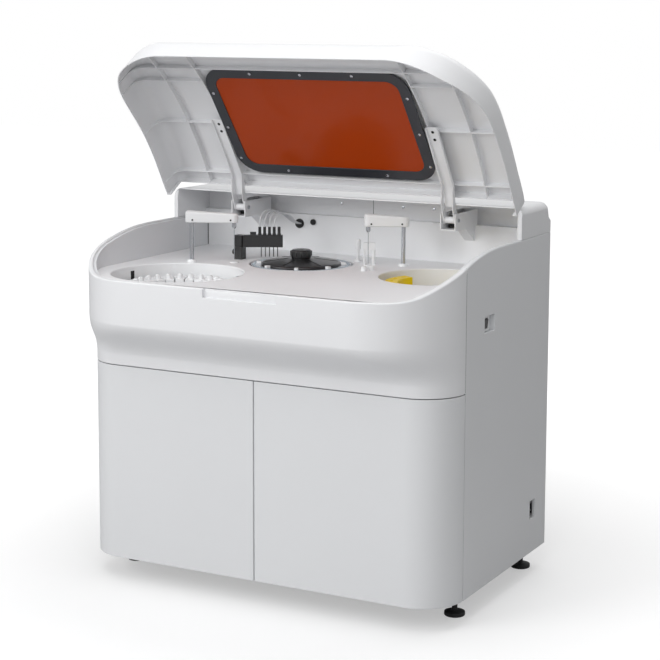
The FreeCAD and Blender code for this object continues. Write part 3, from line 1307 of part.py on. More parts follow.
turn = math.radians(28)
for index in range(4):
    along = 50 + 13 * index
    x = val("wash_x") + 4 + along * math.cos(turn)
    y = val("wash_y") + along * math.sin(turn)
    top = val("wash_top") + 55
    end_x = -206 + 4 * index
    route = [V(x, y, top), V(x, y, top + 26), V(x - 2, y + 40, top + 44 - 3 * index),
             V((x + end_x) / 2, 236 + 4 * index, top + 30 - 3 * index),
             V(end_x, 280, top - 2), V(end_x, 316, 888)]
    hose("wash_tube_%d" % (index + 1), route)

doc.recompute()
faults = []
for item in doc.Objects:
    if {"Invalid", "Error"} & set(item.State):
        faults.append("%s %s" % (item.Name, item.State))
for item in NODES:
    shape = item.Shape
    if shape.isNull() or not shape.isValid() or not shape.Solids:
        faults.append("%s has no valid solid" % item.Label)
if faults:
    raise SystemExit("part not written: " + "; ".join(faults))
for item in NODES:
    item.Shape.exportStep("parts/%s.step" % item.Label)
print(len(NODES), "sub-parts written")
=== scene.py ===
"""Looks of a floor-standing chemistry analyzer with its lid open, built round its CAD frame."""

from __future__ import annotations

import json
import logging
import math
from dataclasses import dataclass
from enum import Enum
from typing import Callable, Iterable

import bmesh
import bpy
from bmesh.types import BMesh
from mathutils import Matrix, Vector

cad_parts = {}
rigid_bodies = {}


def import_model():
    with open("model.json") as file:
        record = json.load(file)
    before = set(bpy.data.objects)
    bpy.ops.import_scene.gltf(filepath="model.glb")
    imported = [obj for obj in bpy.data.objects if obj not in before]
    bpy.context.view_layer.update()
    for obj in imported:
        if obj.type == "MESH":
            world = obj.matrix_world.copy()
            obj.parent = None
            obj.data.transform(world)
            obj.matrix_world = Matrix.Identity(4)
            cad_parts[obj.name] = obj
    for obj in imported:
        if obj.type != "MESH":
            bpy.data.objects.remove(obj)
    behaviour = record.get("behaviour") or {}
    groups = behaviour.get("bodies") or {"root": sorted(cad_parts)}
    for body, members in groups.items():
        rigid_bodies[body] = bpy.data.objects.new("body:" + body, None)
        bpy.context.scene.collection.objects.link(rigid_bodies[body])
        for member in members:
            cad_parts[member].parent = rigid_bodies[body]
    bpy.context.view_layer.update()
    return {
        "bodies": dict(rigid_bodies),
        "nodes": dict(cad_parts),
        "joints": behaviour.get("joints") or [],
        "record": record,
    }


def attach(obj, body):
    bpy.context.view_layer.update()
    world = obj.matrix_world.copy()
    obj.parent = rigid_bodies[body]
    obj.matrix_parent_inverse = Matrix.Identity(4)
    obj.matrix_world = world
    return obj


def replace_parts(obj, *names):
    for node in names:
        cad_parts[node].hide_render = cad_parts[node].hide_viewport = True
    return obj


log = logging.getLogger("analyzer")

MM = 0.001
IMAGE_SIDE = 660
SHARP = math.radians(28)
CORNER = math.radians(40)
COPLANAR = math.radians(0.05)
ACROSS = Matrix.Rotation(math.pi / 2, 4, "X")

Colour = tuple[float, float, float]
Place = tuple[float, float, float]
Span = tuple[float, float]
EdgeRule = Callable[[Vector], bool]
Reshape = Callable[[Vector], Vector]


def mm(*values: float) -> Vector:
    """A place given in millimetres, as metres."""
    return Vector(value * MM for value in values)


def moved(*values: float) -> Matrix:
    """A shift given in millimetres."""
    return Matrix.Translation(mm(*values))


def linear(colour: Colour) -> tuple[float, float, float, float]:
    """Turn a colour as seen on a screen into the one a shader reads, with full alpha."""
    steps = [c / 12.92 if c <= 0.04045 else ((c + 0.055) / 1.055) ** 2.4 for c in colour]
    return (*steps, 1.0)


def dimmed(colour: tuple[float, ...], share: float) -> tuple[float, float, float, float]:
    """A share of a linear colour, with full alpha."""
    return (*(part * share for part in colour[:3]), 1.0)


class Signal:
    """A shader socket that Python's operators turn into Math nodes."""

    def __init__(self, graph: Graph, socket: bpy.types.NodeSocket) -> None:
        """Keep the socket with the graph it belongs to."""
        self.graph = graph
        self.socket = socket

    def _join(self, operation: str, left: Signal | float, right: Signal | float) -> Signal:
        """Add one Math node on two values and give back its value."""
        made = self.graph.node("ShaderNodeMath", {"operation": operation}, {0: left, 1: right})
        return self.graph.out(made)

    def __add__(self, other: Signal | float) -> Signal:
        """Sum."""
        return self._join("ADD", self, other)

    __radd__ = __add__

    def __mul__(self, other: Signal | float) -> Signal:
        """Product."""
        return self._join("MULTIPLY", self, other)

    __rmul__ = __mul__

    def __sub__(self, other: Signal | float) -> Signal:
        """Difference."""
        return self._join("SUBTRACT", self, other)

    def __rsub__(self, other: Signal | float) -> Signal:
        """Difference the other way round."""
        return self._join("SUBTRACT", other, self)


class Graph:
    """The node tree of one material or of the world."""

    def __init__(self, owner: bpy.types.Material | bpy.types.World, shader: str, end: str) -> None:
        """Clear the owner's tree and give it its shader and output.

        Args:
            owner: The material or world.
            shader: Type name of the surface shader.
            end: Type name of the output node.
        """
        self.owner = owner
        self.owner.use_nodes = True
        self.tree = self.owner.node_tree
        self.tree.nodes.clear()
        self.surface = self.node(shader)
        self.tree.links.new(self.surface.outputs[0], self.node(end).inputs["Surface"])

    @classmethod
    def of_material(cls, name: str) -> Graph:
        """Start a new material."""
        return cls(bpy.data.materials.new(name), "ShaderNodeBsdfPrincipled", "ShaderNodeOutputMaterial")

    @classmethod
    def of_world(cls, name: str) -> Graph:
        """Start a new world."""
        return cls(bpy.data.worlds.new(name), "ShaderNodeBackground", "ShaderNodeOutputWorld")

    def node(self, kind: str, settings: dict | None = None, values: dict | None = None) -> bpy.types.Node:
        """Add a node.

        Args:
            kind: Type name of the node.
            settings: Properties, set first.
            values: Numbers, colours or signals for its sockets, by name or number.

        Returns:
            The node.
        """
        made = self.tree.nodes.new(kind)
        for key, value in (settings or {}).items():
            setattr(made, key, value)
        for key, value in (values or {}).items():
            self.set(made.inputs[key], value)
        return made

    def set(self, socket: bpy.types.NodeSocket, value: Signal | float | tuple) -> None:
        """Link a signal to a socket, or set its value.

        Args:
            socket: The input socket.
            value: A signal, number or colour.
        """
        if isinstance(value, Signal):
            self.tree.links.new(value.socket, socket)
        else:
            socket.default_value = value

    def out(self, node: bpy.types.Node, key: int | str = 0) -> Signal:
        """One output of a node, by name or number, as a signal."""
        return Signal(self, node.outputs[key])

    def coordinates(self, scale: Place = (1, 1, 1)) -> Signal:
        """Object coordinates in metres, stretched by a scale."""
        place = self.out(self.node("ShaderNodeTexCoord"), "Object")
        return self.out(self.node("ShaderNodeMapping", {}, {"Vector": place, "Scale": scale}))

    def noise(self, per_metre: float, detail: float = 2.0, scale: Place = (1, 1, 1)) -> Signal:
        """Noise from 0 to 1 with a number of blotches to the metre."""
        values = {"Vector": self.coordinates(scale), "Scale": per_metre, "Detail": detail}
        return self.out(self.node("ShaderNodeTexNoise", {}, values), "Fac")

    def blend(self, share: Signal, first: tuple, second: tuple) -> Signal:
        """A colour between two linear ones, by the share of the second."""
        made = self.node("ShaderNodeMix", {"data_type": "RGBA"}, {"Factor": share, "A": first, "B": second})
        return Signal(self, [end for end in made.outputs if end.type == "RGBA"][0])

    def drifting(self, share: Signal, colour: Colour, least: float) -> Signal:
        """A colour as on a screen that drifts down to its least share and back."""
        full = linear(colour)
        return self.blend(share, dimmed(full, least), full)

    def feed(self, **values: Signal | float | tuple) -> None:
        """Set sockets of the surface shader.

        Args:
            values: Signals, numbers or colours by the sockets' names, with an underscore for a blank.
        """
        names = {socket.name.lower().replace(" ", "_"): socket for socket in self.surface.inputs}
        for key, value in values.items():
            self.set(names[key], value)

    def relief(self, height: Signal, depth: float, strength: float = 0.5) -> None:
        """Let a height signal, with its depth in metres, bend the surface's light."""
        values = {"Height": height, "Distance": depth, "Strength": strength}
        self.feed(normal=self.out(self.node("ShaderNodeBump", {}, values)))


@dataclass(frozen=True)
class Moulded:
    """A moulded plastic or a powder coat: fine grain, a slight drift of tone."""

    colour: Colour
    roughness: float = 0.42
    grains: float = 900.0
    depth: float = 0.00003
    drift: float = 0.03
    coat: float = 0.0
    coat_roughness: float = 0.2
    fine_share: float = 0.12
    broad_share: float = 0.06
    relief: float = 0.35

    def material(self, name: str) -> bpy.types.Material:
        """Build the material.

        Args:
            name: Its name.

        Returns:
            The material.
        """
        graph = Graph.of_material(name)
        fine = graph.noise(self.grains)
        broad = graph.noise(2.5, 3.0)
        middle = (self.fine_share + self.broad_share) / 2
        graph.feed(
            base_color=graph.drifting(broad, self.colour, 1 - self.drift),
            roughness=fine * self.fine_share + broad * self.broad_share + (self.roughness - middle),
            coat_weight=self.coat,
            coat_roughness=self.coat_roughness,
        )
        graph.relief(fine, self.depth, self.relief)
        return graph.owner


@dataclass(frozen=True)
class Steel:
    """Polished or brushed steel, brushed along one axis."""

    colour: Colour = (0.80, 0.81, 0.83)
    roughness: float = 0.22
    along: Place = (1.0, 1.0, 0.03)
    brushing: float = 1400.0
    darkest: float = 0.82
    spread: float = 0.2
    depth: float = 0.00001
    relief: float = 0.3

    def material(self, name: str) -> bpy.types.Material:
        """Build the material.

        Args:
            name: Its name.

        Returns:
            The material.
        """
        graph = Graph.of_material(name)
        lines = graph.noise(self.brushing, 3.0, self.along)
        graph.feed(
            base_color=graph.drifting(lines, self.colour, self.darkest),
            roughness=lines * self.spread + (self.roughness - self.spread / 2),
            metallic=1.0,
        )
        graph.relief(lines, self.depth, self.relief)
        return graph.owner


@dataclass(frozen=True)
class Tinted:
    """A clear tinted sheet that lets a little through."""

    colour: Colour
    alpha: float = 0.97
    roughness: float = 0.12
    coat: float = 0.1
    coat_roughness: float = 0.05
    shine: float = 0.12
    darkest: float = 0.92
    spread: float = 0.04

    def material(self, name: str) -> bpy.types.Material:
        """Build the material.

        Args:
            name: Its name.

        Returns:
            The material.
        """
        graph = Graph.of_material(name)
        broad = graph.noise(1.6, 1.0)
        graph.feed(
            base_color=graph.drifting(broad, self.colour, self.darkest),
            roughness=broad * self.spread + self.roughness,
            alpha=self.alpha,
            specular_ior_level=self.shine,
            coat_weight=self.coat,
            coat_roughness=self.coat_roughness,
        )
        return graph.owner


class Slot(Enum):
    """The finishes, by the names that the record gives them."""

    COVER = "cover_white"
    PANEL = "panel_white"
    LINER = "liner_grey"
    INNER = "inner_grey"
    FRAME = "frame_steel"
    BLACK = "black_plastic"
    WHITE = "white_plastic"
    YELLOW = "yellow_plastic"
    STEEL = "steel"
    WINDOW = "window_orange"
    NATURAL = "natural_plastic"
    RUBBER = "rubber_black"
    HOSE = "hose_white"


class Extra(Enum):
    """Finishes of single pieces, where a slot's own doesn't fit; among them a near-black that is painted
    shade in holes and gaps, and a lighter white that is painted light.
    """

    FRAME_BLACK = "frame_black"
    # near-black for dark joints, and painted shade inside holes, slots and gaps
    DARK_HOLE = "dark_hole"
    # a lighter white, painted light for pieces in shade under the open lid
    WALL_WHITE = "wall_white"
    CLEAR_CELL = "clear_cell"


FINISHES = {
    Slot.COVER: Moulded((0.915, 0.918, 0.926), roughness=0.38, coat=0.12),
    Slot.PANEL: Moulded((0.885, 0.89, 0.898), roughness=0.46, grains=1500.0, depth=0.00004),
    Slot.LINER: Moulded((0.87, 0.875, 0.885), roughness=0.5),
    Slot.INNER: Moulded((0.66, 0.67, 0.69), roughness=0.5, grains=1500.0),
    Slot.FRAME: Moulded((0.72, 0.73, 0.75), roughness=0.45, grains=1500.0),
    Slot.BLACK: Moulded((0.09, 0.092, 0.1), roughness=0.3, drift=0.2, coat=0.3),
    Slot.WHITE: Moulded((0.94, 0.945, 0.95), roughness=0.35, coat=0.2),
    Slot.YELLOW: Moulded((0.99, 0.86, 0.0), roughness=0.4, drift=0.06),
    Slot.STEEL: Steel(),
    Slot.WINDOW: Tinted((0.69, 0.25, 0.06)),
    Slot.NATURAL: Moulded((0.90, 0.91, 0.90), roughness=0.35, drift=0.06),
    Slot.RUBBER: Moulded((0.08, 0.08, 0.085), roughness=0.65, grains=500.0, depth=0.0001, drift=0.25),
    Slot.HOSE: Moulded((0.86, 0.87, 0.88), roughness=0.3, drift=0.06, coat=0.3),
    Extra.FRAME_BLACK: Moulded((0.17, 0.18, 0.205), roughness=0.36, drift=0.12, coat=0.15),
    # Near-black for dark joints, and painted shade inside holes, the reading slot and the gap behind each
    # liner.
    Extra.DARK_HOLE: Moulded((0.03, 0.03, 0.035), roughness=0.7, drift=0.3),
    # A lighter copy of the cover white: painted light for the deck and back wall, which lie in shade under
    # the open lid.
    Extra.WALL_WHITE: Moulded((0.95, 0.953, 0.96), roughness=0.45),
    Extra.CLEAR_CELL: Tinted((0.86, 0.9, 0.93), alpha=0.55, roughness=0.12),
}


class Workshop:
    """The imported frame, the finishes and the ways to make a piece."""

    def __init__(self, frame: dict) -> None:
        """Keep the frame and make every finish once.

        Args:
            frame: The frame that was loaded.
        """
        self.nodes = frame["nodes"]
        self.slots = {part["node"]: Slot(part["material_slot"]) for part in frame["record"]["subparts"]}
        self.finishes = {key: finish.material(key.value) for key, finish in FINISHES.items()}

    def dress_nodes(self) -> None:
        """Give every CAD node the finish of its slot."""
        for name, item in self.nodes.items():
            item.data.materials.clear()
            item.data.materials.append(self.finishes[self.slots[name]])

    def piece(
        self, name: str, shape: BMesh, body: str, slot: Slot, extra: Extra | None = None
    ) -> bpy.types.Object:
        """Turn a bmesh into a piece of the object.

        Args:
            name: Name of the piece.
            shape: Its geometry, in the frame; freed here.
            body: CAD body that it rides on.
            slot: Record slot that its finish belongs to.
            extra: A finish of its own, where the slot's doesn't fit.

        Returns:
            The object.
        """
        mesh = bpy.data.meshes.new(name)
        shape.normal_update()
        shape.to_mesh(mesh)
        shape.free()
        mesh.shade_smooth()
        mesh.set_sharp_from_angle(angle=SHARP)
        mesh.materials.append(self.finishes[extra or slot])
        item = bpy.data.objects.new(name, mesh)
        bpy.context.scene.collection.objects.link(item)
        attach(item, body)
        log.info("%s on %s: %d faces", name, body, len(mesh.polygons))
        return item

    def softened(
        self,
        node: str,
        name: str,
        body: str,
        rules: list[tuple[float, EdgeRule]],
        extra: Extra | None = None,
        reshape: Reshape | None = None,
    ) -> bpy.types.Object:
        """A copy of a CAD node with its edges rounded, in place of the node.

        Args:
            node: The CAD node.
            name: Name of the new piece.
            body: CAD body that it rides on.
            rules: Widths in millimetres, each with a test of an edge's middle in millimetres.
            extra: A finish of its own, where the slot's doesn't fit.
            reshape: Gives each corner a new place, both in millimetres.

        Returns:
            The new piece.
        """
        shape = bmesh.new()
        shape.from_mesh(self.nodes[node].data)
        bmesh.ops.remove_doubles(shape, verts=shape.verts, dist=2e-6)
        bmesh.ops.dissolve_limit(shape, angle_limit=COPLANAR, verts=shape.verts, edges=shape.edges)
        for vert in shape.verts if reshape else ():
            vert.co = reshape(vert.co / MM) * MM
        for width, chosen in rules:
            picked = []
            for edge in shape.edges:
                if len(edge.link_faces) != 2 or edge.calc_face_angle(0.0) < CORNER:
                    continue
                if chosen((edge.verts[0].co + edge.verts[1].co) / (2 * MM)):
                    picked.append(edge)
            rounded(shape, picked, width, 3, loop_slide=True)
        item = self.piece(name, shape, body, self.slots[node], extra)
        weighted = item.modifiers.new("even_shading", "WEIGHTED_NORMAL")
        weighted.keep_sharp = True
        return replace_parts(item, node)


def anywhere(middle: Vector) -> bool:
    """An edge rule that takes every sharp edge."""
    return True


def rounded(shape: BMesh, edges: list, soft: float, segments: int = 2, **options: bool) -> None:
    """Round edges.

    Args:
        shape: The bmesh that holds them.
        edges: The edges.
        soft: Width of the rounding in millimetres.
        segments: Number of faces across it.
        options: Further switches of the bevel operator.
    """
    bmesh.ops.bevel(
        shape,
        geom=edges,
        offset=soft * MM,
        offset_type="OFFSET",
        segments=segments,
        profile=0.5,
        affect="EDGES",
        material=-1,
        **options,
    )


def add_box(shape: BMesh, low: tuple, high: tuple, soft: float = 0.6) -> None:
    """Add a box with rounded edges between two corners.

    Args:
        shape: The bmesh to add to.
        low: Low corner in millimetres.
        high: High corner in millimetres.
        soft: Edge rounding in millimetres.
    """
    size = mm(*(b - a for a, b in zip(low, high)))
    middle = mm(*((a + b) / 2 for a, b in zip(low, high)))
    spread = Matrix.Translation(middle) @ Matrix.Diagonal((*size, 1.0))
    made = bmesh.ops.create_cube(shape, size=1.0, matrix=spread)
    rounded(shape, list({edge for vert in made["verts"] for edge in vert.link_edges}), soft)


def add_disc(
    shape: BMesh, place: Matrix, radius: float, tall: float, sides: int = 24, soft: float = 0.3
) -> None:
    """Add a short cylinder with rounded ends.

    Args:
        shape: The bmesh to add to.
        place: Where its middle goes, in metres; its axis is the local z.
        radius: Radius in millimetres.
        tall: Height in millimetres.
        sides: Number of sides.
        soft: Edge rounding in millimetres.
    """
    width = radius * MM
    made = bmesh.ops.create_cone(
        shape, cap_ends=True, segments=sides, radius1=width, radius2=width, depth=tall * MM, matrix=place
    )
    edges = {edge for vert in made["verts"] for edge in vert.link_edges}
    rounded(shape, [edge for edge in edges if any(len(face.verts) > 4 for face in edge.link_faces)], soft)


def close_spin(shape: BMesh) -> None:
    """Close the seam and poles of a spun shape and turn its faces outwards."""
    bmesh.ops.remove_doubles(shape, verts=shape.verts, dist=1e-6)
    bmesh.ops.recalc_face_normals(shape, faces=shape.faces)


def add_spun(shape: BMesh, outline: Iterable[Span], x: float, y: float, sides: int = 48) -> None:
    """Add a solid spun about an upright axis.

    Args:
        shape: The bmesh to add to.
        outline: Radius and height points in millimetres, from the axis back to the axis.
        x: Place of the axis in millimetres.
        y: Place of the axis in millimetres.
        sides: Number of steps round the axis.
    """
    verts = [shape.verts.new(mm(x + radius, y, height)) for radius, height in outline]
    edges = [shape.edges.new(pair) for pair in zip(verts, verts[1:])]
    bmesh.ops.spin(
        shape,
        geom=verts + edges,
        cent=mm(x, y, 0),
        axis=(0, 0, 1),
        angle=math.tau,
        steps=sides,
        use_merge=True,
        use_duplicate=False,
    )
    close_spin(shape)


def add_part(shape: BMesh, part: BMesh, place: Matrix) -> None:
    """Add one bmesh to another.

    Args:
        shape: The bmesh to add to.
        part: The bmesh to add; freed here.
        place: Where its origin goes, in metres.
    """
    bmesh.ops.transform(part, matrix=place, verts=part.verts)
    held = bpy.data.meshes.new("held")
    part.to_mesh(held)
    part.free()
    shape.from_mesh(held)
    bpy.data.meshes.remove(held)


def turned(x: float, y: float, angle: float) -> Matrix:
    """A turn in radians about an upright axis, whose place is in millimetres."""
    return moved(x, y, 0) @ Matrix.Rotation(angle, 4, "Z")


def on_circle(x: float, y: float, radius: float, z: float, count: int) -> list[Matrix]:
    """Places spread evenly round an upright axis.

    Args:
        x: Place of the axis in millimetres.
        y: Place of the axis in millimetres.
        radius: Radius of the circle in millimetres.
        z: Its height in millimetres.
        count: Number of places.

    Returns:
        A shift to each place.
    """
    angles = [math.tau * index / count for index in range(count)]
    return [moved(x + radius * math.cos(angle), y + radius * math.sin(angle), z) for angle in angles]


@dataclass
class Assembly:
    """A group of pieces that belong together, and the workshop that makes them."""

    shop: Workshop

    def build(self) -> None:
        """Make the pieces."""
        raise NotImplementedError


@dataclass
class Casing(Assembly):
    """The outer shell: cover, panels, hood, doors and what stands under them."""

    rim_soft: float = 4.0
    edge_soft: float = 1.6
    plain_soft: float = 0.8
    sheet_soft: float = 0.3
    rim_z: float = 809.5
    rim_rear: float = -168.0
    rim_foot: float = 800.0
    door_front: float = -168.5
    crest_z: float = 840.0
    crest_y: Span = (-160.0, 370.0)
    wall_y: float = 340.0
    screw_x: tuple[float, ...] = (-78.0, 110.0, 202.0)
    screw_z: float = 948.0
    screw_r: float = 3.6
    screw_tall: float = 1.8
    wall_seam_x: float = 19.0
    wall_seam_z: Span = (916.0, 978.0)
    side_x: float = 520.0
    side_seam_y: Span = (-166.5, -165.5)
    side_seam_z: Span = (576.0, 862.0)
    # Where the strips of painted shade stand, at the rear edge of each liner.
    liner_x: float = 500.0
    liner_shade_y: Span = (317.5, 319.7)
    liner_shade_z: Span = (811.0, 896.0)
    notch_x: Span = (-84.0, 121.0)
    notch_front: float = -376.0
    notch_floor: float = 787.0
    notch_deep: float = 9.0
    notch_top: float = 805.6
    notch_wall: float = 2.0
    notch_lap: float = 0.5
    notch_end_front: float = 3.2

    def build(self) -> None:
        """Make the shell's pieces."""
        plain = [(self.plain_soft, anywhere)]
        sheet = [(self.sheet_soft, anywhere)]
        rim, crest = (self.rim_soft, self.on_rim), (self.rim_soft, self.on_crest)
        self.shop.softened("front_cover", "flared_cover", "cabinet", [rim, (self.plain_soft, self.off_rim)])
        for side in ("right", "left"):
            self.shop.softened(f"{side}_side_panel", f"{side}_panel", "cabinet", [crest, *plain])
            door = f"{side}_door"
            self.shop.softened(door, f"{door}_pan", door, [(self.edge_soft, self.on_door)])
        self.shop.softened("rear_hood", "hood_shell", "cabinet", [(0.5, anywhere)])
        # The deck gets a lighter white than the cover's: painted light that makes up for the shade under the
        # open lid.
        self.shop.softened("deck", "deck_plate", "cabinet", plain, Extra.WALL_WHITE)
        self.shop.softened("side_liners", "liner_trim", "cabinet", [(0.6, anywhere)])
        # The back wall gets the same lighter white, painted light for the shade under the open lid.
        self.shop.softened("back_wall", "wall_panel", "cabinet", sheet, Extra.WALL_WHITE)
        self.shop.softened("base_pan", "base_tray", "cabinet", sheet)
        self.shop.softened("levelling_feet", "foot_pads", "cabinet", [(1.2, anywhere)])
        self.wall_screws()
        self.notch_pocket()
        self.side_seams()

    def on_rim(self, middle: Vector) -> bool:
        """Edges along the crest of the cover's rim."""
        return middle.z > self.rim_z and middle.y < self.rim_rear

    def off_rim(self, middle: Vector) -> bool:
        """Edges of the cover below its rim and at its rear ends."""
        return middle.z < self.rim_foot or middle.y > self.rim_rear

    def on_crest(self, middle: Vector) -> bool:
        """Edges along the crest of a side panel."""
        return middle.z > self.crest_z and self.crest_y[0] < middle.y < self.crest_y[1]

    def on_door(self, middle: Vector) -> bool:
        """Edges of a door in front of its hinge line."""
        return middle.y < self.door_front

    def side_seams(self) -> None:
        """The dark upright joints at the front end of each side panel, and a dark strip of painted shade
        down the rear edge of each liner, where it meets the back wall.
        """
        shape = bmesh.new()
        joint_and_shade_strips = (
            (self.side_x - 1.0, self.side_x + 0.08, self.side_seam_y, self.side_seam_z, 0.05),
            # painted shade: a dark strip behind each liner, where it meets the back wall
            (self.liner_x - 1.2, self.liner_x + 0.5, self.liner_shade_y, self.liner_shade_z, 0.1),
        )
        for way in (-1, 1):
            for near, far, (front, rear), (foot, head), soft in joint_and_shade_strips:
                low, high = sorted((way * near, way * far))
                add_box(shape, (low, front, foot), (high, rear, head), soft)
        self.shop.piece("side_seams", shape, "cabinet", Slot.BLACK, Extra.DARK_HOLE)

    def notch_pocket(self) -> None:
        """The bright floor, back and ends of the finger notch."""
        shape = bmesh.new()
        wall, top = self.notch_wall, self.notch_top
        left, right = self.notch_x[0] - wall, self.notch_x[1] + wall
        front, floor = self.notch_front, self.notch_floor
        deep, foot = front + self.notch_deep, floor - self.notch_lap
        add_box(shape, (left, front + wall, floor - wall), (right, deep + wall, floor), 0.3)
        add_box(shape, (left, deep, foot), (right, deep + wall, top), 0.3)
        for x in (left, right - wall):
            add_box(shape, (x, front + self.notch_end_front, foot), (x + wall, deep + wall / 2, top), 0.3)
        self.shop.piece("notch_pocket", shape, "cabinet", Slot.COVER)

    def wall_screws(self) -> None:
        """Screws and the seam on the recessed upper wall."""
        shape = bmesh.new()
        for x in self.screw_x:
            place = moved(x, self.wall_y - self.screw_tall / 2, self.screw_z) @ ACROSS
            add_disc(shape, place, self.screw_r, self.screw_tall)
        self.shop.piece("wall_screws", shape, "cabinet", Slot.STEEL)
        seam = bmesh.new()
        x, (foot, head) = self.wall_seam_x, self.wall_seam_z
        add_box(seam, (x - 0.6, self.wall_y - 0.3, foot), (x + 0.6, self.wall_y + 0.2, head), 0.1)
        self.shop.piece("wall_seam", seam, "cabinet", Slot.BLACK, Extra.DARK_HOLE)


@dataclass
class Reagents(Assembly):
    """The reagent well: its bottles, tub and reading slot."""

    x: float = -278.0
    y: float = -184.0
    well: float = 170.0
    slot_angle: float = 167.0
    slot_low: Place = (-1.2, -6.0, 768.0)
    slot_high: Place = (0.6, 6.0, 797.0)
    count: int = 24
    cap_at: float = 113.0
    cap_z: float = 789.0
    cap_r: float = 4.5
    cap_tall: float = 1.2

    def build(self) -> None:
        """Make the well's pieces."""
        self.shop.softened("reagent_bottles", "bottle_set", "reagent_turntable", [(1.5, anywhere)])
        self.shop.softened("reagent_tub", "reagent_pot", "cabinet", [(0.8, anywhere)])
        self.cap_rings()
        self.reading_slot()

    def cap_rings(self) -> None:
        """A raised disc on each bottle cap."""
        shape = bmesh.new()
        for place in on_circle(self.x, self.y, self.cap_at, self.cap_z + self.cap_tall / 2, self.count):
            add_disc(shape, place, self.cap_r, self.cap_tall, 16)
        self.shop.piece("cap_rings", shape, "reagent_turntable", Slot.WHITE)

    def reading_slot(self) -> None:
        """A dark box on the wall of the well, painted shade for the opening of its reading slot."""
        shape = bmesh.new()
        add_box(shape, self.slot_low, self.slot_high, 0.5)
        place = turned(self.x, self.y, math.radians(self.slot_angle)) @ moved(self.well - 0.2, 0, 0)
        bmesh.ops.transform(shape, matrix=place, verts=shape.verts)
        self.shop.piece("reading_slot", shape, "cabinet", Slot.BLACK, Extra.DARK_HOLE)


@dataclass
class Reactions(Assembly):
    """The reaction well: cuvettes, ring, clips, black cover and its knob."""

    x: float = -81.0
    y: float = 113.0
    cells: int = 80
    groove: float = 126.0
    cell_z: float = 806.1
    cell: Place = (6.4, 7.2, 5.6)
    cell_wall: float = 0.8
    cell_deep: float = 3.0
    grips: int = 12
    knob_r: float = 27.0
    grip_r: float = 2.2
    grip_tall: float = 14.0
    grip_z: float = 837.0
    ribs: int = 6
    rib_low: Place = (34.0, -2.0, 0.0)
    rib_high: Place = (98.0, 2.0, 2.2)
    rib_slope: float = 7.6
    rib_z: float = 827.4

    def build(self) -> None:
        """Make the well's pieces."""
        self.shop.softened("reaction_cover", "black_lid", "reaction_turntable", [(1.2, anywhere)])
        self.shop.softened("ring_clips", "clip_set", "reaction_turntable", [(1.0, anywhere)])
        self.shop.softened("cuvette_ring", "cell_carrier", "reaction_turntable", [(0.5, anywhere)])
        self.cuvettes()
        self.knob_grips()
        self.lid_ribs()

    def cuvettes(self) -> None:
        """Small clear cells standing in the ring's groove."""
        shape = bmesh.new()
        spread = Matrix.Diagonal((*mm(*self.cell), 1.0))
        wall, deep = self.cell_wall * MM, self.cell_deep * MM
        for index in range(self.cells):
            place = turned(self.x, self.y, math.tau * index / self.cells)
            place = place @ moved(self.groove, 0, self.cell_z) @ spread
            made = bmesh.ops.create_cube(shape, size=1.0, matrix=place)
            faces = {face for vert in made["verts"] for face in vert.link_faces}
            top = max(faces, key=lambda face: face.calc_center_median().z)
            bmesh.ops.inset_region(shape, faces=[top], thickness=wall, depth=-deep)
        self.shop.piece("cuvette_cells", shape, "reaction_turntable", Slot.NATURAL, Extra.CLEAR_CELL)

    def knob_grips(self) -> None:
        """Ribs round the knob."""
        shape = bmesh.new()
        for place in on_circle(self.x, self.y, self.knob_r, self.grip_z, self.grips):
            add_disc(shape, place, self.grip_r, self.grip_tall, 12, 0.6)
        self.shop.piece("knob_grips", shape, "reaction_turntable", Slot.BLACK)

    def lid_ribs(self) -> None:
        """Low ribs that run out over the black lid."""
        shape = bmesh.new()
        slope = moved(0, 0, self.rib_z) @ Matrix.Rotation(math.radians(self.rib_slope), 4, "Y")
        for index in range(self.ribs):
            part = bmesh.new()
            add_box(part, self.rib_low, self.rib_high, 0.8)
            add_part(shape, part, turned(self.x, self.y, math.tau * (index + 0.5) / self.ribs) @ slope)
        self.shop.piece("lid_ribs", shape, "reaction_turntable", Slot.BLACK)


@dataclass
class Samples(Assembly):
    """The sample well: adapters, tub and turntable."""

    x: float = 331.0
    y: float = 68.0
    hub_foot: tuple[Span, ...] = ((0, 773), (22, 773), (22, 776), (20, 778))
    hub_stem: tuple[Span, ...] = ((9, 778), (8, 786), (6, 788), (0, 788))

    def build(self) -> None:
        """Make the well's pieces."""
        self.shop.softened("sample_adapters", "yellow_adapters", "sample_turntable", [(1.2, anywhere)])
        self.shop.softened("sample_tub", "sample_pot", "cabinet", [(0.8, anywhere)])
        self.hub_cap()

    def hub_cap(self) -> None:
        """A turned cap on the turntable's hub."""
        shape = bmesh.new()
        add_spun(shape, (*self.hub_foot, *self.hub_stem), self.x, self.y)
        self.shop.piece("sample_hub_cap", shape, "sample_turntable", Slot.WHITE)


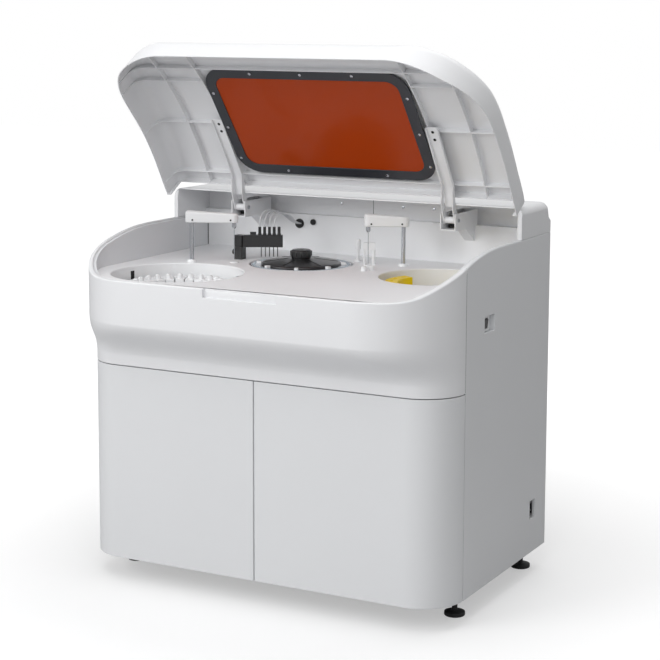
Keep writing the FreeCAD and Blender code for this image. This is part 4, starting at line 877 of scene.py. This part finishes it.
@dataclass
class Probe(Assembly):
    """One probe arm with its screw caps."""

    side: str
    x: float
    y: float
    turn: float
    reach: float
    low: float
    high: float
    drop_post: float
    drop_tip: float
    half_width: float = 14.0
    narrowing: float = 0.28
    soft: float = 4.0
    screw_z: float = 8.0
    screw_inset: float = 1.2
    screw_post: float = 4.0
    screw_tip: float = 8.0

    def build(self) -> None:
        """Make the arm's pieces."""
        body = f"{self.side}_swing"
        name = f"{self.side}_arm"
        self.shop.softened(name, f"{name}_cover", body, [(self.soft, anywhere)], reshape=self.sloped)
        shape = bmesh.new()
        along = turned(self.x, self.y, math.radians(self.turn))
        ends = ((self.screw_post, self.drop_post), (self.reach - self.screw_tip, self.drop_tip))
        for way in (-1, 1):
            for at, drop in ends:
                half = self.half_width - drop * self.narrowing - self.screw_inset
                place = along @ moved(at, way * half, self.low + self.screw_z) @ ACROSS
                add_disc(shape, place, 2.4, 2.2, 16, 0.2)
        self.shop.piece(f"{name}_screws", shape, body, Slot.BLACK, Extra.DARK_HOLE)

    def sloped(self, place: Vector) -> Vector:
        """Let the arm's top fall towards one end and its sides draw in.

        Args:
            place: A corner of the plain arm in millimetres.

        Returns:
            Its new place.
        """
        turn = Matrix.Rotation(math.radians(self.turn), 3, "Z")
        spot = turn.inverted() @ (place - Vector((self.x, self.y, 0)))
        share = min(max(spot.x / self.reach, 0.0), 1.0)
        height = (spot.z - self.low) / (self.high - self.low)
        drop = self.drop_post * (1 - share) + self.drop_tip * share
        spot.y *= 1 - drop / 50
        spot.z -= drop * max(height - 0.5, 0.0) * 2
        return turn @ spot + Vector((self.x, self.y, 0))


@dataclass
class WashStation(Assembly):
    """The wash head with its fittings and tubes."""

    x: float = -264.0
    y: float = 103.0
    top: float = 843.0
    angle: float = 28.0
    teeth: int = 5
    first_tooth: float = 50.0
    pitch: float = 13.0
    tooth_shift: float = 4.0
    tooth_tall: float = 55.0
    collar_z: float = 35.0
    collar_r: float = 5.2
    collar_tall: float = 4.0
    end_x: float = -206.0
    end_pitch: float = 4.0
    end_y: float = 316.0
    end_z: float = 888.0
    tube_width: float = 3.6
    lengths: tuple[float, ...] = (0.2240, 0.2154, 0.2073, 0.1998)

    def build(self) -> None:
        """Make the station's pieces."""
        self.shop.softened("wash_column", "wash_post", "cabinet", [(1.0, anywhere)])
        self.shop.softened("wash_head", "wash_manifold", "wash_lift", [(0.5, self.on_top)])
        for index, length in enumerate(self.lengths):
            self.tube(index, length)
        self.fittings()

    def on_top(self, middle: Vector) -> bool:
        """Edges of the head above its arm."""
        return middle.z > self.top - 1

    def start(self, index: int) -> Span:
        """Place of a tube's lower end on the manifold.

        Args:
            index: Number of the tooth, from the column outwards.

        Returns:
            Its place from left to right and from front to back, in millimetres.
        """
        along = self.first_tooth + self.pitch * index
        turn = math.radians(self.angle)
        return self.x + self.tooth_shift + along * math.cos(turn), self.y + along * math.sin(turn)

    def route(self, index: int) -> list[Place]:
        """The path of a tube from its tooth to the back wall.

        Args:
            index: Number of the tube.

        Returns:
            The curve's control points in millimetres.
        """
        x, y = self.start(index)
        end = self.end_x + self.end_pitch * index
        high = self.top + self.tooth_tall
        return [
            (x, y, high),
            (x, y, high + 26),
            (x - 2, y + 40, high + 44 - 3 * index),
            ((x + end) / 2, 236 + 4 * index, high + 30 - 3 * index),
            (end, 280, high - 2),
            (end, self.end_y, self.end_z),
        ]

    def tube(self, index: int, length: float) -> None:
        """One soft tube from the manifold to the back wall.

        Args:
            index: Number of the tube.
            length: Its length in metres.
        """
        route = self.route(index)
        curve = bpy.data.curves.new(f"wash_hose_{index + 1}", "CURVE")
        curve.dimensions = "3D"
        curve.bevel_depth = self.tube_width / 2 * MM
        curve.bevel_resolution = 3
        curve.resolution_u = 12
        curve.render_resolution_u = 12
        spline = curve.splines.new("NURBS")
        spline.points.add(len(route) - 1)
        for point, place in zip(spline.points, route):
            point.co = (*mm(*place), 1.0)
        spline.order_u = 3
        spline.use_endpoint_u = True
        curve.materials.append(self.shop.finishes[Slot.HOSE])
        item = bpy.data.objects.new(curve.name, curve)
        bpy.context.scene.collection.objects.link(item)
        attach(item, "cabinet")
        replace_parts(item, f"wash_tube_{index + 1}")
        tuple(mm(*route[0]))
        log.info("%s on cabinet: %.0f mm", item.name, length / MM)

    def fittings(self) -> None:
        """Collars on the teeth of the manifold."""
        shape = bmesh.new()
        for index in range(self.teeth):
            place = moved(*self.start(index), self.top + self.collar_z)
            add_disc(shape, place, self.collar_r, self.collar_tall, 12, 0.5)
        self.shop.piece("tooth_collars", shape, "wash_lift", Slot.BLACK)


@dataclass
class Lid(Assembly):
    """The hinged lid: shell, window, its frame, arms and dampers."""

    pivot_y: float = 196.0
    pivot_z: float = 940.0
    angle: float = 58.5
    window_z: float = 961.4
    tilt: float = 6.56
    frame_x: float = 281.0
    frame_front: float = -249.0
    frame_rear: float = 86.0
    frame_pitch: float = 147.0
    frame_side_y: tuple[float, ...] = (-180.0, -62.0, 48.0)
    screw_tall: float = 1.8
    arm_x: float = 314.0
    hole_places: tuple[Span, ...] = ((-64.0, 962.4), (-40.0, 963.6))
    damper_half: float = 16.0
    damper_y: Span = (216.0, 306.0)
    damper_z: Span = (918.0, 949.0)

    def build(self) -> None:
        """Make the lid's pieces."""
        self.shop.softened("lid_shell", "lid_moulding", "lid", [(1.0, anywhere)])
        self.shop.softened("window_frame", "window_bezel", "lid", [(0.8, anywhere)], Extra.FRAME_BLACK)
        for side in ("right", "left"):
            self.shop.softened(f"{side}_lid_arm", f"{side}_gooseneck", "lid", [(0.4, anywhere)])
        self.shop.softened("hinge_housings", "hinge_channels", "cabinet", [(0.3, anywhere)])
        self.frame_screws()
        self.arm_holes()
        self.dampers()

    def swung(self) -> Matrix:
        """The turn that opens the closed lid to its resting place."""
        pivot = moved(0, self.pivot_y, self.pivot_z)
        return pivot @ Matrix.Rotation(-math.radians(self.angle), 4, "X") @ pivot.inverted()

    def frame_screws(self) -> None:
        """Screws round the window frame's lower face."""
        plane = self.swung() @ moved(0, 0, self.window_z) @ Matrix.Rotation(math.radians(self.tilt), 4, "X")
        step = self.frame_pitch
        places = [(x, self.frame_front) for x in (-step, 0, step)]
        places += [(x, self.frame_rear) for x in (-step, step)]
        places += [(way * self.frame_x, y) for way in (-1, 1) for y in self.frame_side_y]
        shape = bmesh.new()
        for x, y in places:
            add_disc(shape, plane @ moved(x, y, -self.screw_tall / 2), 4.2, self.screw_tall, 18, 0.4)
        self.shop.piece("frame_screws", shape, "lid", Slot.STEEL)

    def arm_holes(self) -> None:
        """Two dark discs near the front end of each lid arm, painted shade for its fixing holes."""
        shape = bmesh.new()
        for way in (-1, 1):
            for y, z in self.hole_places:
                add_disc(shape, self.swung() @ moved(way * self.arm_x, y, z), 4.0, 0.8, 18, 0.2)
        self.shop.piece("arm_holes", shape, "lid", Slot.BLACK, Extra.DARK_HOLE)

    def dampers(self) -> None:
        """A black damper block in each hinge channel."""
        shape = bmesh.new()
        (front, rear), (foot, head) = self.damper_y, self.damper_z
        for way in (-1, 1):
            left = way * self.arm_x - self.damper_half
            add_box(shape, (left, front, foot), (left + 2 * self.damper_half, rear, head), 2.0)
        self.shop.piece("lid_dampers", shape, "cabinet", Slot.BLACK)


@dataclass
class PowerPanel(Assembly):
    """The switch and the inlet on the right hand side."""

    face_x: float = 504.0
    inlet_y: float = 283.0
    inlet_z: float = 178.0
    pins: tuple[Span, ...] = ((-5.5, -5.0), (5.5, -5.0), (0.0, 5.0))
    pin_foot: float = 3.0
    pin: Place = (5.5, 2.0, 6.0)

    def build(self) -> None:
        """Make the panel's pieces."""
        self.shop.softened("switch_bezel", "switch_plate", "cabinet", [(0.6, anywhere)])
        self.shop.softened("power_inlet", "inlet_socket", "cabinet", [(0.8, anywhere)])
        self.shop.softened("power_rocker", "rocker_key", "rocker", [(0.5, anywhere)])
        shape = bmesh.new()
        long, wide, tall = self.pin
        for y, z in self.pins:
            low = (self.face_x + self.pin_foot, self.inlet_y + y - wide / 2, self.inlet_z + z - tall / 2)
            add_box(shape, low, (low[0] + long, low[1] + wide, low[2] + tall), 0.3)
        self.shop.piece("inlet_pins", shape, "cabinet", Slot.STEEL)


@dataclass
class Bays(Assembly):
    """What stands in the lower bays behind the doors."""

    base_z: float = 65.0
    can_tall: float = 250.0
    can_x: Span = (-340.0, -150.0)
    can_y: float = 40.0
    can_top: float = 320.0
    cap_r: float = 25.0
    cap_low: float = 20.0
    cap_high: float = 40.0
    cap_ribs: int = 20
    cap_rib_z: float = 29.0
    pumps: int = 4
    pitch: float = 90.0
    pump_y: float = 8.0
    pump_z: float = 303.0
    fan_x: float = 200.0
    fan_y: float = 59.0
    fan_z: float = 135.0
    fan_rings: tuple[float, ...] = (18.0, 30.0, 42.0, 54.0)
    fan_half: float = 56.0
    fan_bar: float = 20.0
    wire: float = 1.1

    def build(self) -> None:
        """Make the bays' pieces."""
        for node, name in (("rinse_water_bottle", "rinse_canister"), ("waste_bottle", "waste_canister")):
            self.shop.softened(node, name, "cabinet", [(5.0, self.below_neck)])
        self.shop.softened("power_supply", "supply_box", "cabinet", [(1.2, anywhere)])
        self.shop.softened("syringe_pumps", "pump_set", "cabinet", [(0.8, anywhere)])
        self.caps()
        self.plungers()
        self.fan_grille()

    def below_neck(self, middle: Vector) -> bool:
        """Edges of a canister below its neck."""
        return middle.z < self.can_top

    def caps(self) -> None:
        """Ribbed screw caps on the canister necks."""
        shape = bmesh.new()
        top = self.base_z + self.can_tall
        low, high, wide = top + self.cap_low, top + self.cap_high, self.cap_r
        outline = [(0, low), (wide - 0.5, low), (wide, high - 2), (wide - 2, high), (0, high)]
        for x in self.can_x:
            add_spun(shape, outline, x, self.can_y, 40)
            for place in on_circle(x, self.can_y, wide, top + self.cap_rib_z, self.cap_ribs):
                add_disc(shape, place, 1.2, 15, 8, 0.3)
        self.shop.piece("canister_caps", shape, "cabinet", Slot.BLACK)

    def plungers(self) -> None:
        """Steel rods and end caps on the pump barrels."""
        steel = bmesh.new()
        dark = bmesh.new()
        for index in range(self.pumps):
            x = self.pitch * (index + 1)
            add_disc(steel, moved(x, self.pump_y, self.pump_z + 26), 2.5, 24, 16)
            add_disc(dark, moved(x, self.pump_y, self.pump_z + 112), 10, 8, 24, 1.0)
            add_disc(dark, moved(x, self.pump_y, self.pump_z + 12), 8, 5, 24, 1.0)
        self.shop.piece("pump_plungers", steel, "cabinet", Slot.STEEL)
        self.shop.piece("pump_caps", dark, "cabinet", Slot.BLACK)

    def ring(self, radius: float) -> BMesh:
        """One wire ring round the origin.

        Args:
            radius: Its radius in millimetres.

        Returns:
            The ring.
        """
        shape = bmesh.new()
        place = moved(radius, 0, 0) @ ACROSS
        bmesh.ops.create_circle(shape, segments=10, radius=self.wire * MM, matrix=place)
        bmesh.ops.spin(
            shape,
            geom=shape.verts[:] + shape.edges[:],
            cent=(0, 0, 0),
            axis=(0, 0, 1),
            angle=math.tau,
            steps=48,
            use_merge=True,
        )
        close_spin(shape)
        return shape

    def fan_grille(self) -> None:
        """Wire rings and bars on the front of the power supply."""
        shape = bmesh.new()
        front = moved(self.fan_x, self.fan_y, self.fan_z) @ ACROSS
        for radius in self.fan_rings:
            add_part(shape, self.ring(radius), front)
        for way in (-1, 1):
            z = self.fan_z + way * self.fan_bar
            low = (self.fan_x - self.fan_half, self.fan_y - 1, z - 1)
            add_box(shape, low, (self.fan_x + self.fan_half, self.fan_y + 1, z + 1), 0.4)
        self.shop.piece("fan_grille", shape, "cabinet", Slot.STEEL)


@dataclass
class Studio:
    """The pale floor, the soft lights and the camera."""

    place: Place = (2.1570, -3.9245, 1.4761)
    yaw: float = 28.05
    pitch: float = 7.804
    roll: float = 0.161
    focal_pixels: float = 1756.2
    shift: float = -0.12
    sensor: float = 36.0
    aim: Place = (0.0, 0.0, 0.6)
    floor_size: float = 14.0
    floor_tone: tuple[float, float, float, float] = (0.58, 0.58, 0.583, 1.0)
    haze_tone: tuple[float, float, float, float] = (0.85, 0.85, 0.85, 1.0)
    haze_from: float = 0.6
    haze_to: float = 2.2
    haze_least: float = 0.5
    daylight: float = 0.28
    mirrored: float = 0.75

    def build(self) -> None:
        """Set the stage."""
        self.floor()
        self.world()
        self.lamp("key", (-2.4, -3.6, 2.3), 2.4, 80.0)
        self.lamp("fill", (1.7, -3.0, 2.7), 2.0, 32.0)
        self.lamp("top", (0.1, -1.3, 3.4), 2.0, 30.0)
        self.lamp("back", (0.5, 1.3, 3.2), 2.0, 20.0)
        self.camera()
        bpy.context.scene.view_settings.view_transform = "Standard"

    def floor(self) -> None:
        """A pale floor that keeps the object's shadow and fades to the backdrop away from it."""
        shape = bmesh.new()
        bmesh.ops.create_grid(shape, x_segments=1, y_segments=1, size=self.floor_size)
        mesh = bpy.data.meshes.new("studio_floor")
        shape.to_mesh(mesh)
        shape.free()
        graph = Graph.of_material("studio_floor")
        ray = graph.out(graph.node("ShaderNodeLightPath"), "Is Camera Ray")
        length = graph.node("ShaderNodeVectorMath", {"operation": "LENGTH"}, {0: graph.coordinates()})
        reach = {
            "Value": graph.out(length, "Value"),
            "From Min": self.haze_from,
            "From Max": self.haze_to,
            "To Min": self.haze_least,
            "To Max": 1.0,
        }
        away = graph.out(graph.node("ShaderNodeMapRange", {}, reach))
        haze = graph.blend(ray * away, (0, 0, 0, 1), self.haze_tone)
        graph.feed(base_color=self.floor_tone, roughness=0.7, emission_color=haze, emission_strength=1.0)
        mesh.materials.append(graph.owner)
        item = bpy.data.objects.new("studio_floor", mesh)
        bpy.context.scene.collection.objects.link(item)

    def world(self) -> None:
        """Even pale light, seen as white by the camera and nearly so in reflections."""
        graph = Graph.of_world("studio")
        bpy.context.scene.world = graph.owner
        path = graph.node("ShaderNodeLightPath")
        glossy = graph.out(path, "Is Glossy Ray") * self.mirrored
        direct = graph.out(path, "Is Camera Ray")
        seen = graph.node("ShaderNodeMath", {"operation": "MAXIMUM"}, {0: direct, 1: glossy})
        reach = {"Value": graph.out(seen), "To Min": self.daylight, "To Max": 1.0}
        strength = graph.out(graph.node("ShaderNodeMapRange", {}, reach))
        graph.feed(color=(1, 1, 1, 1), strength=strength)

    def lamp(self, name: str, place: Place, size: float, power: float) -> None:
        """One square soft light aimed at the middle of the object.

        Args:
            name: Name of the light.
            place: Where it hangs, in metres.
            size: Length of its sides in metres.
            power: Its power in watts.
        """
        lamp = bpy.data.lights.new(name, "AREA")
        lamp.size = size
        lamp.energy = power
        item = bpy.data.objects.new(name, lamp)
        item.location = place
        item.rotation_mode = "QUATERNION"
        item.rotation_quaternion = (Vector(self.aim) - Vector(place)).to_track_quat("-Z", "Y")
        bpy.context.scene.collection.objects.link(item)

    def camera(self) -> None:
        """The photograph's view."""
        yaw, pitch, roll = (math.radians(angle) for angle in (self.yaw, self.pitch, self.roll))
        ahead = Vector((-math.sin(yaw) * math.cos(pitch), math.cos(yaw) * math.cos(pitch), -math.sin(pitch)))
        level = Vector((math.cos(yaw), math.sin(yaw), 0))
        up = level.cross(ahead)
        right = level * math.cos(roll) + up * math.sin(roll)
        above = up * math.cos(roll) - level * math.sin(roll)
        camera = bpy.data.cameras.new("camera")
        camera.sensor_width = self.sensor
        camera.lens = self.sensor * self.focal_pixels / IMAGE_SIDE
        camera.shift_y = self.shift
        item = bpy.data.objects.new("camera", camera)
        turn = Matrix((right, above, -ahead)).transposed().to_4x4()
        item.matrix_world = Matrix.Translation(self.place) @ turn
        bpy.context.scene.collection.objects.link(item)
        bpy.context.scene.camera = item


def main() -> None:
    """Load the frame, dress it piece by piece and set the stage."""
    logging.basicConfig(level=logging.INFO, format="%(name)s %(message)s")
    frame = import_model()
    shop = Workshop(frame)
    shop.dress_nodes()
    parts: list[Assembly] = [
        Casing(shop),
        Reagents(shop),
        Reactions(shop),
        Samples(shop),
        Probe(shop, "reagent", -348.0, -6.0, 23.2, 114.0, 916.0, 948.0, 0.0, 7.0),
        Probe(shop, "sample", 179.0, 198.0, 206.3, 92.6, 914.0, 948.0, 7.0, 0.0),
        WashStation(shop),
        Lid(shop),
        PowerPanel(shop),
        Bays(shop),
    ]
    for part in parts:
        part.build()
    Studio().build()


if __name__ == "__main__":
    main()
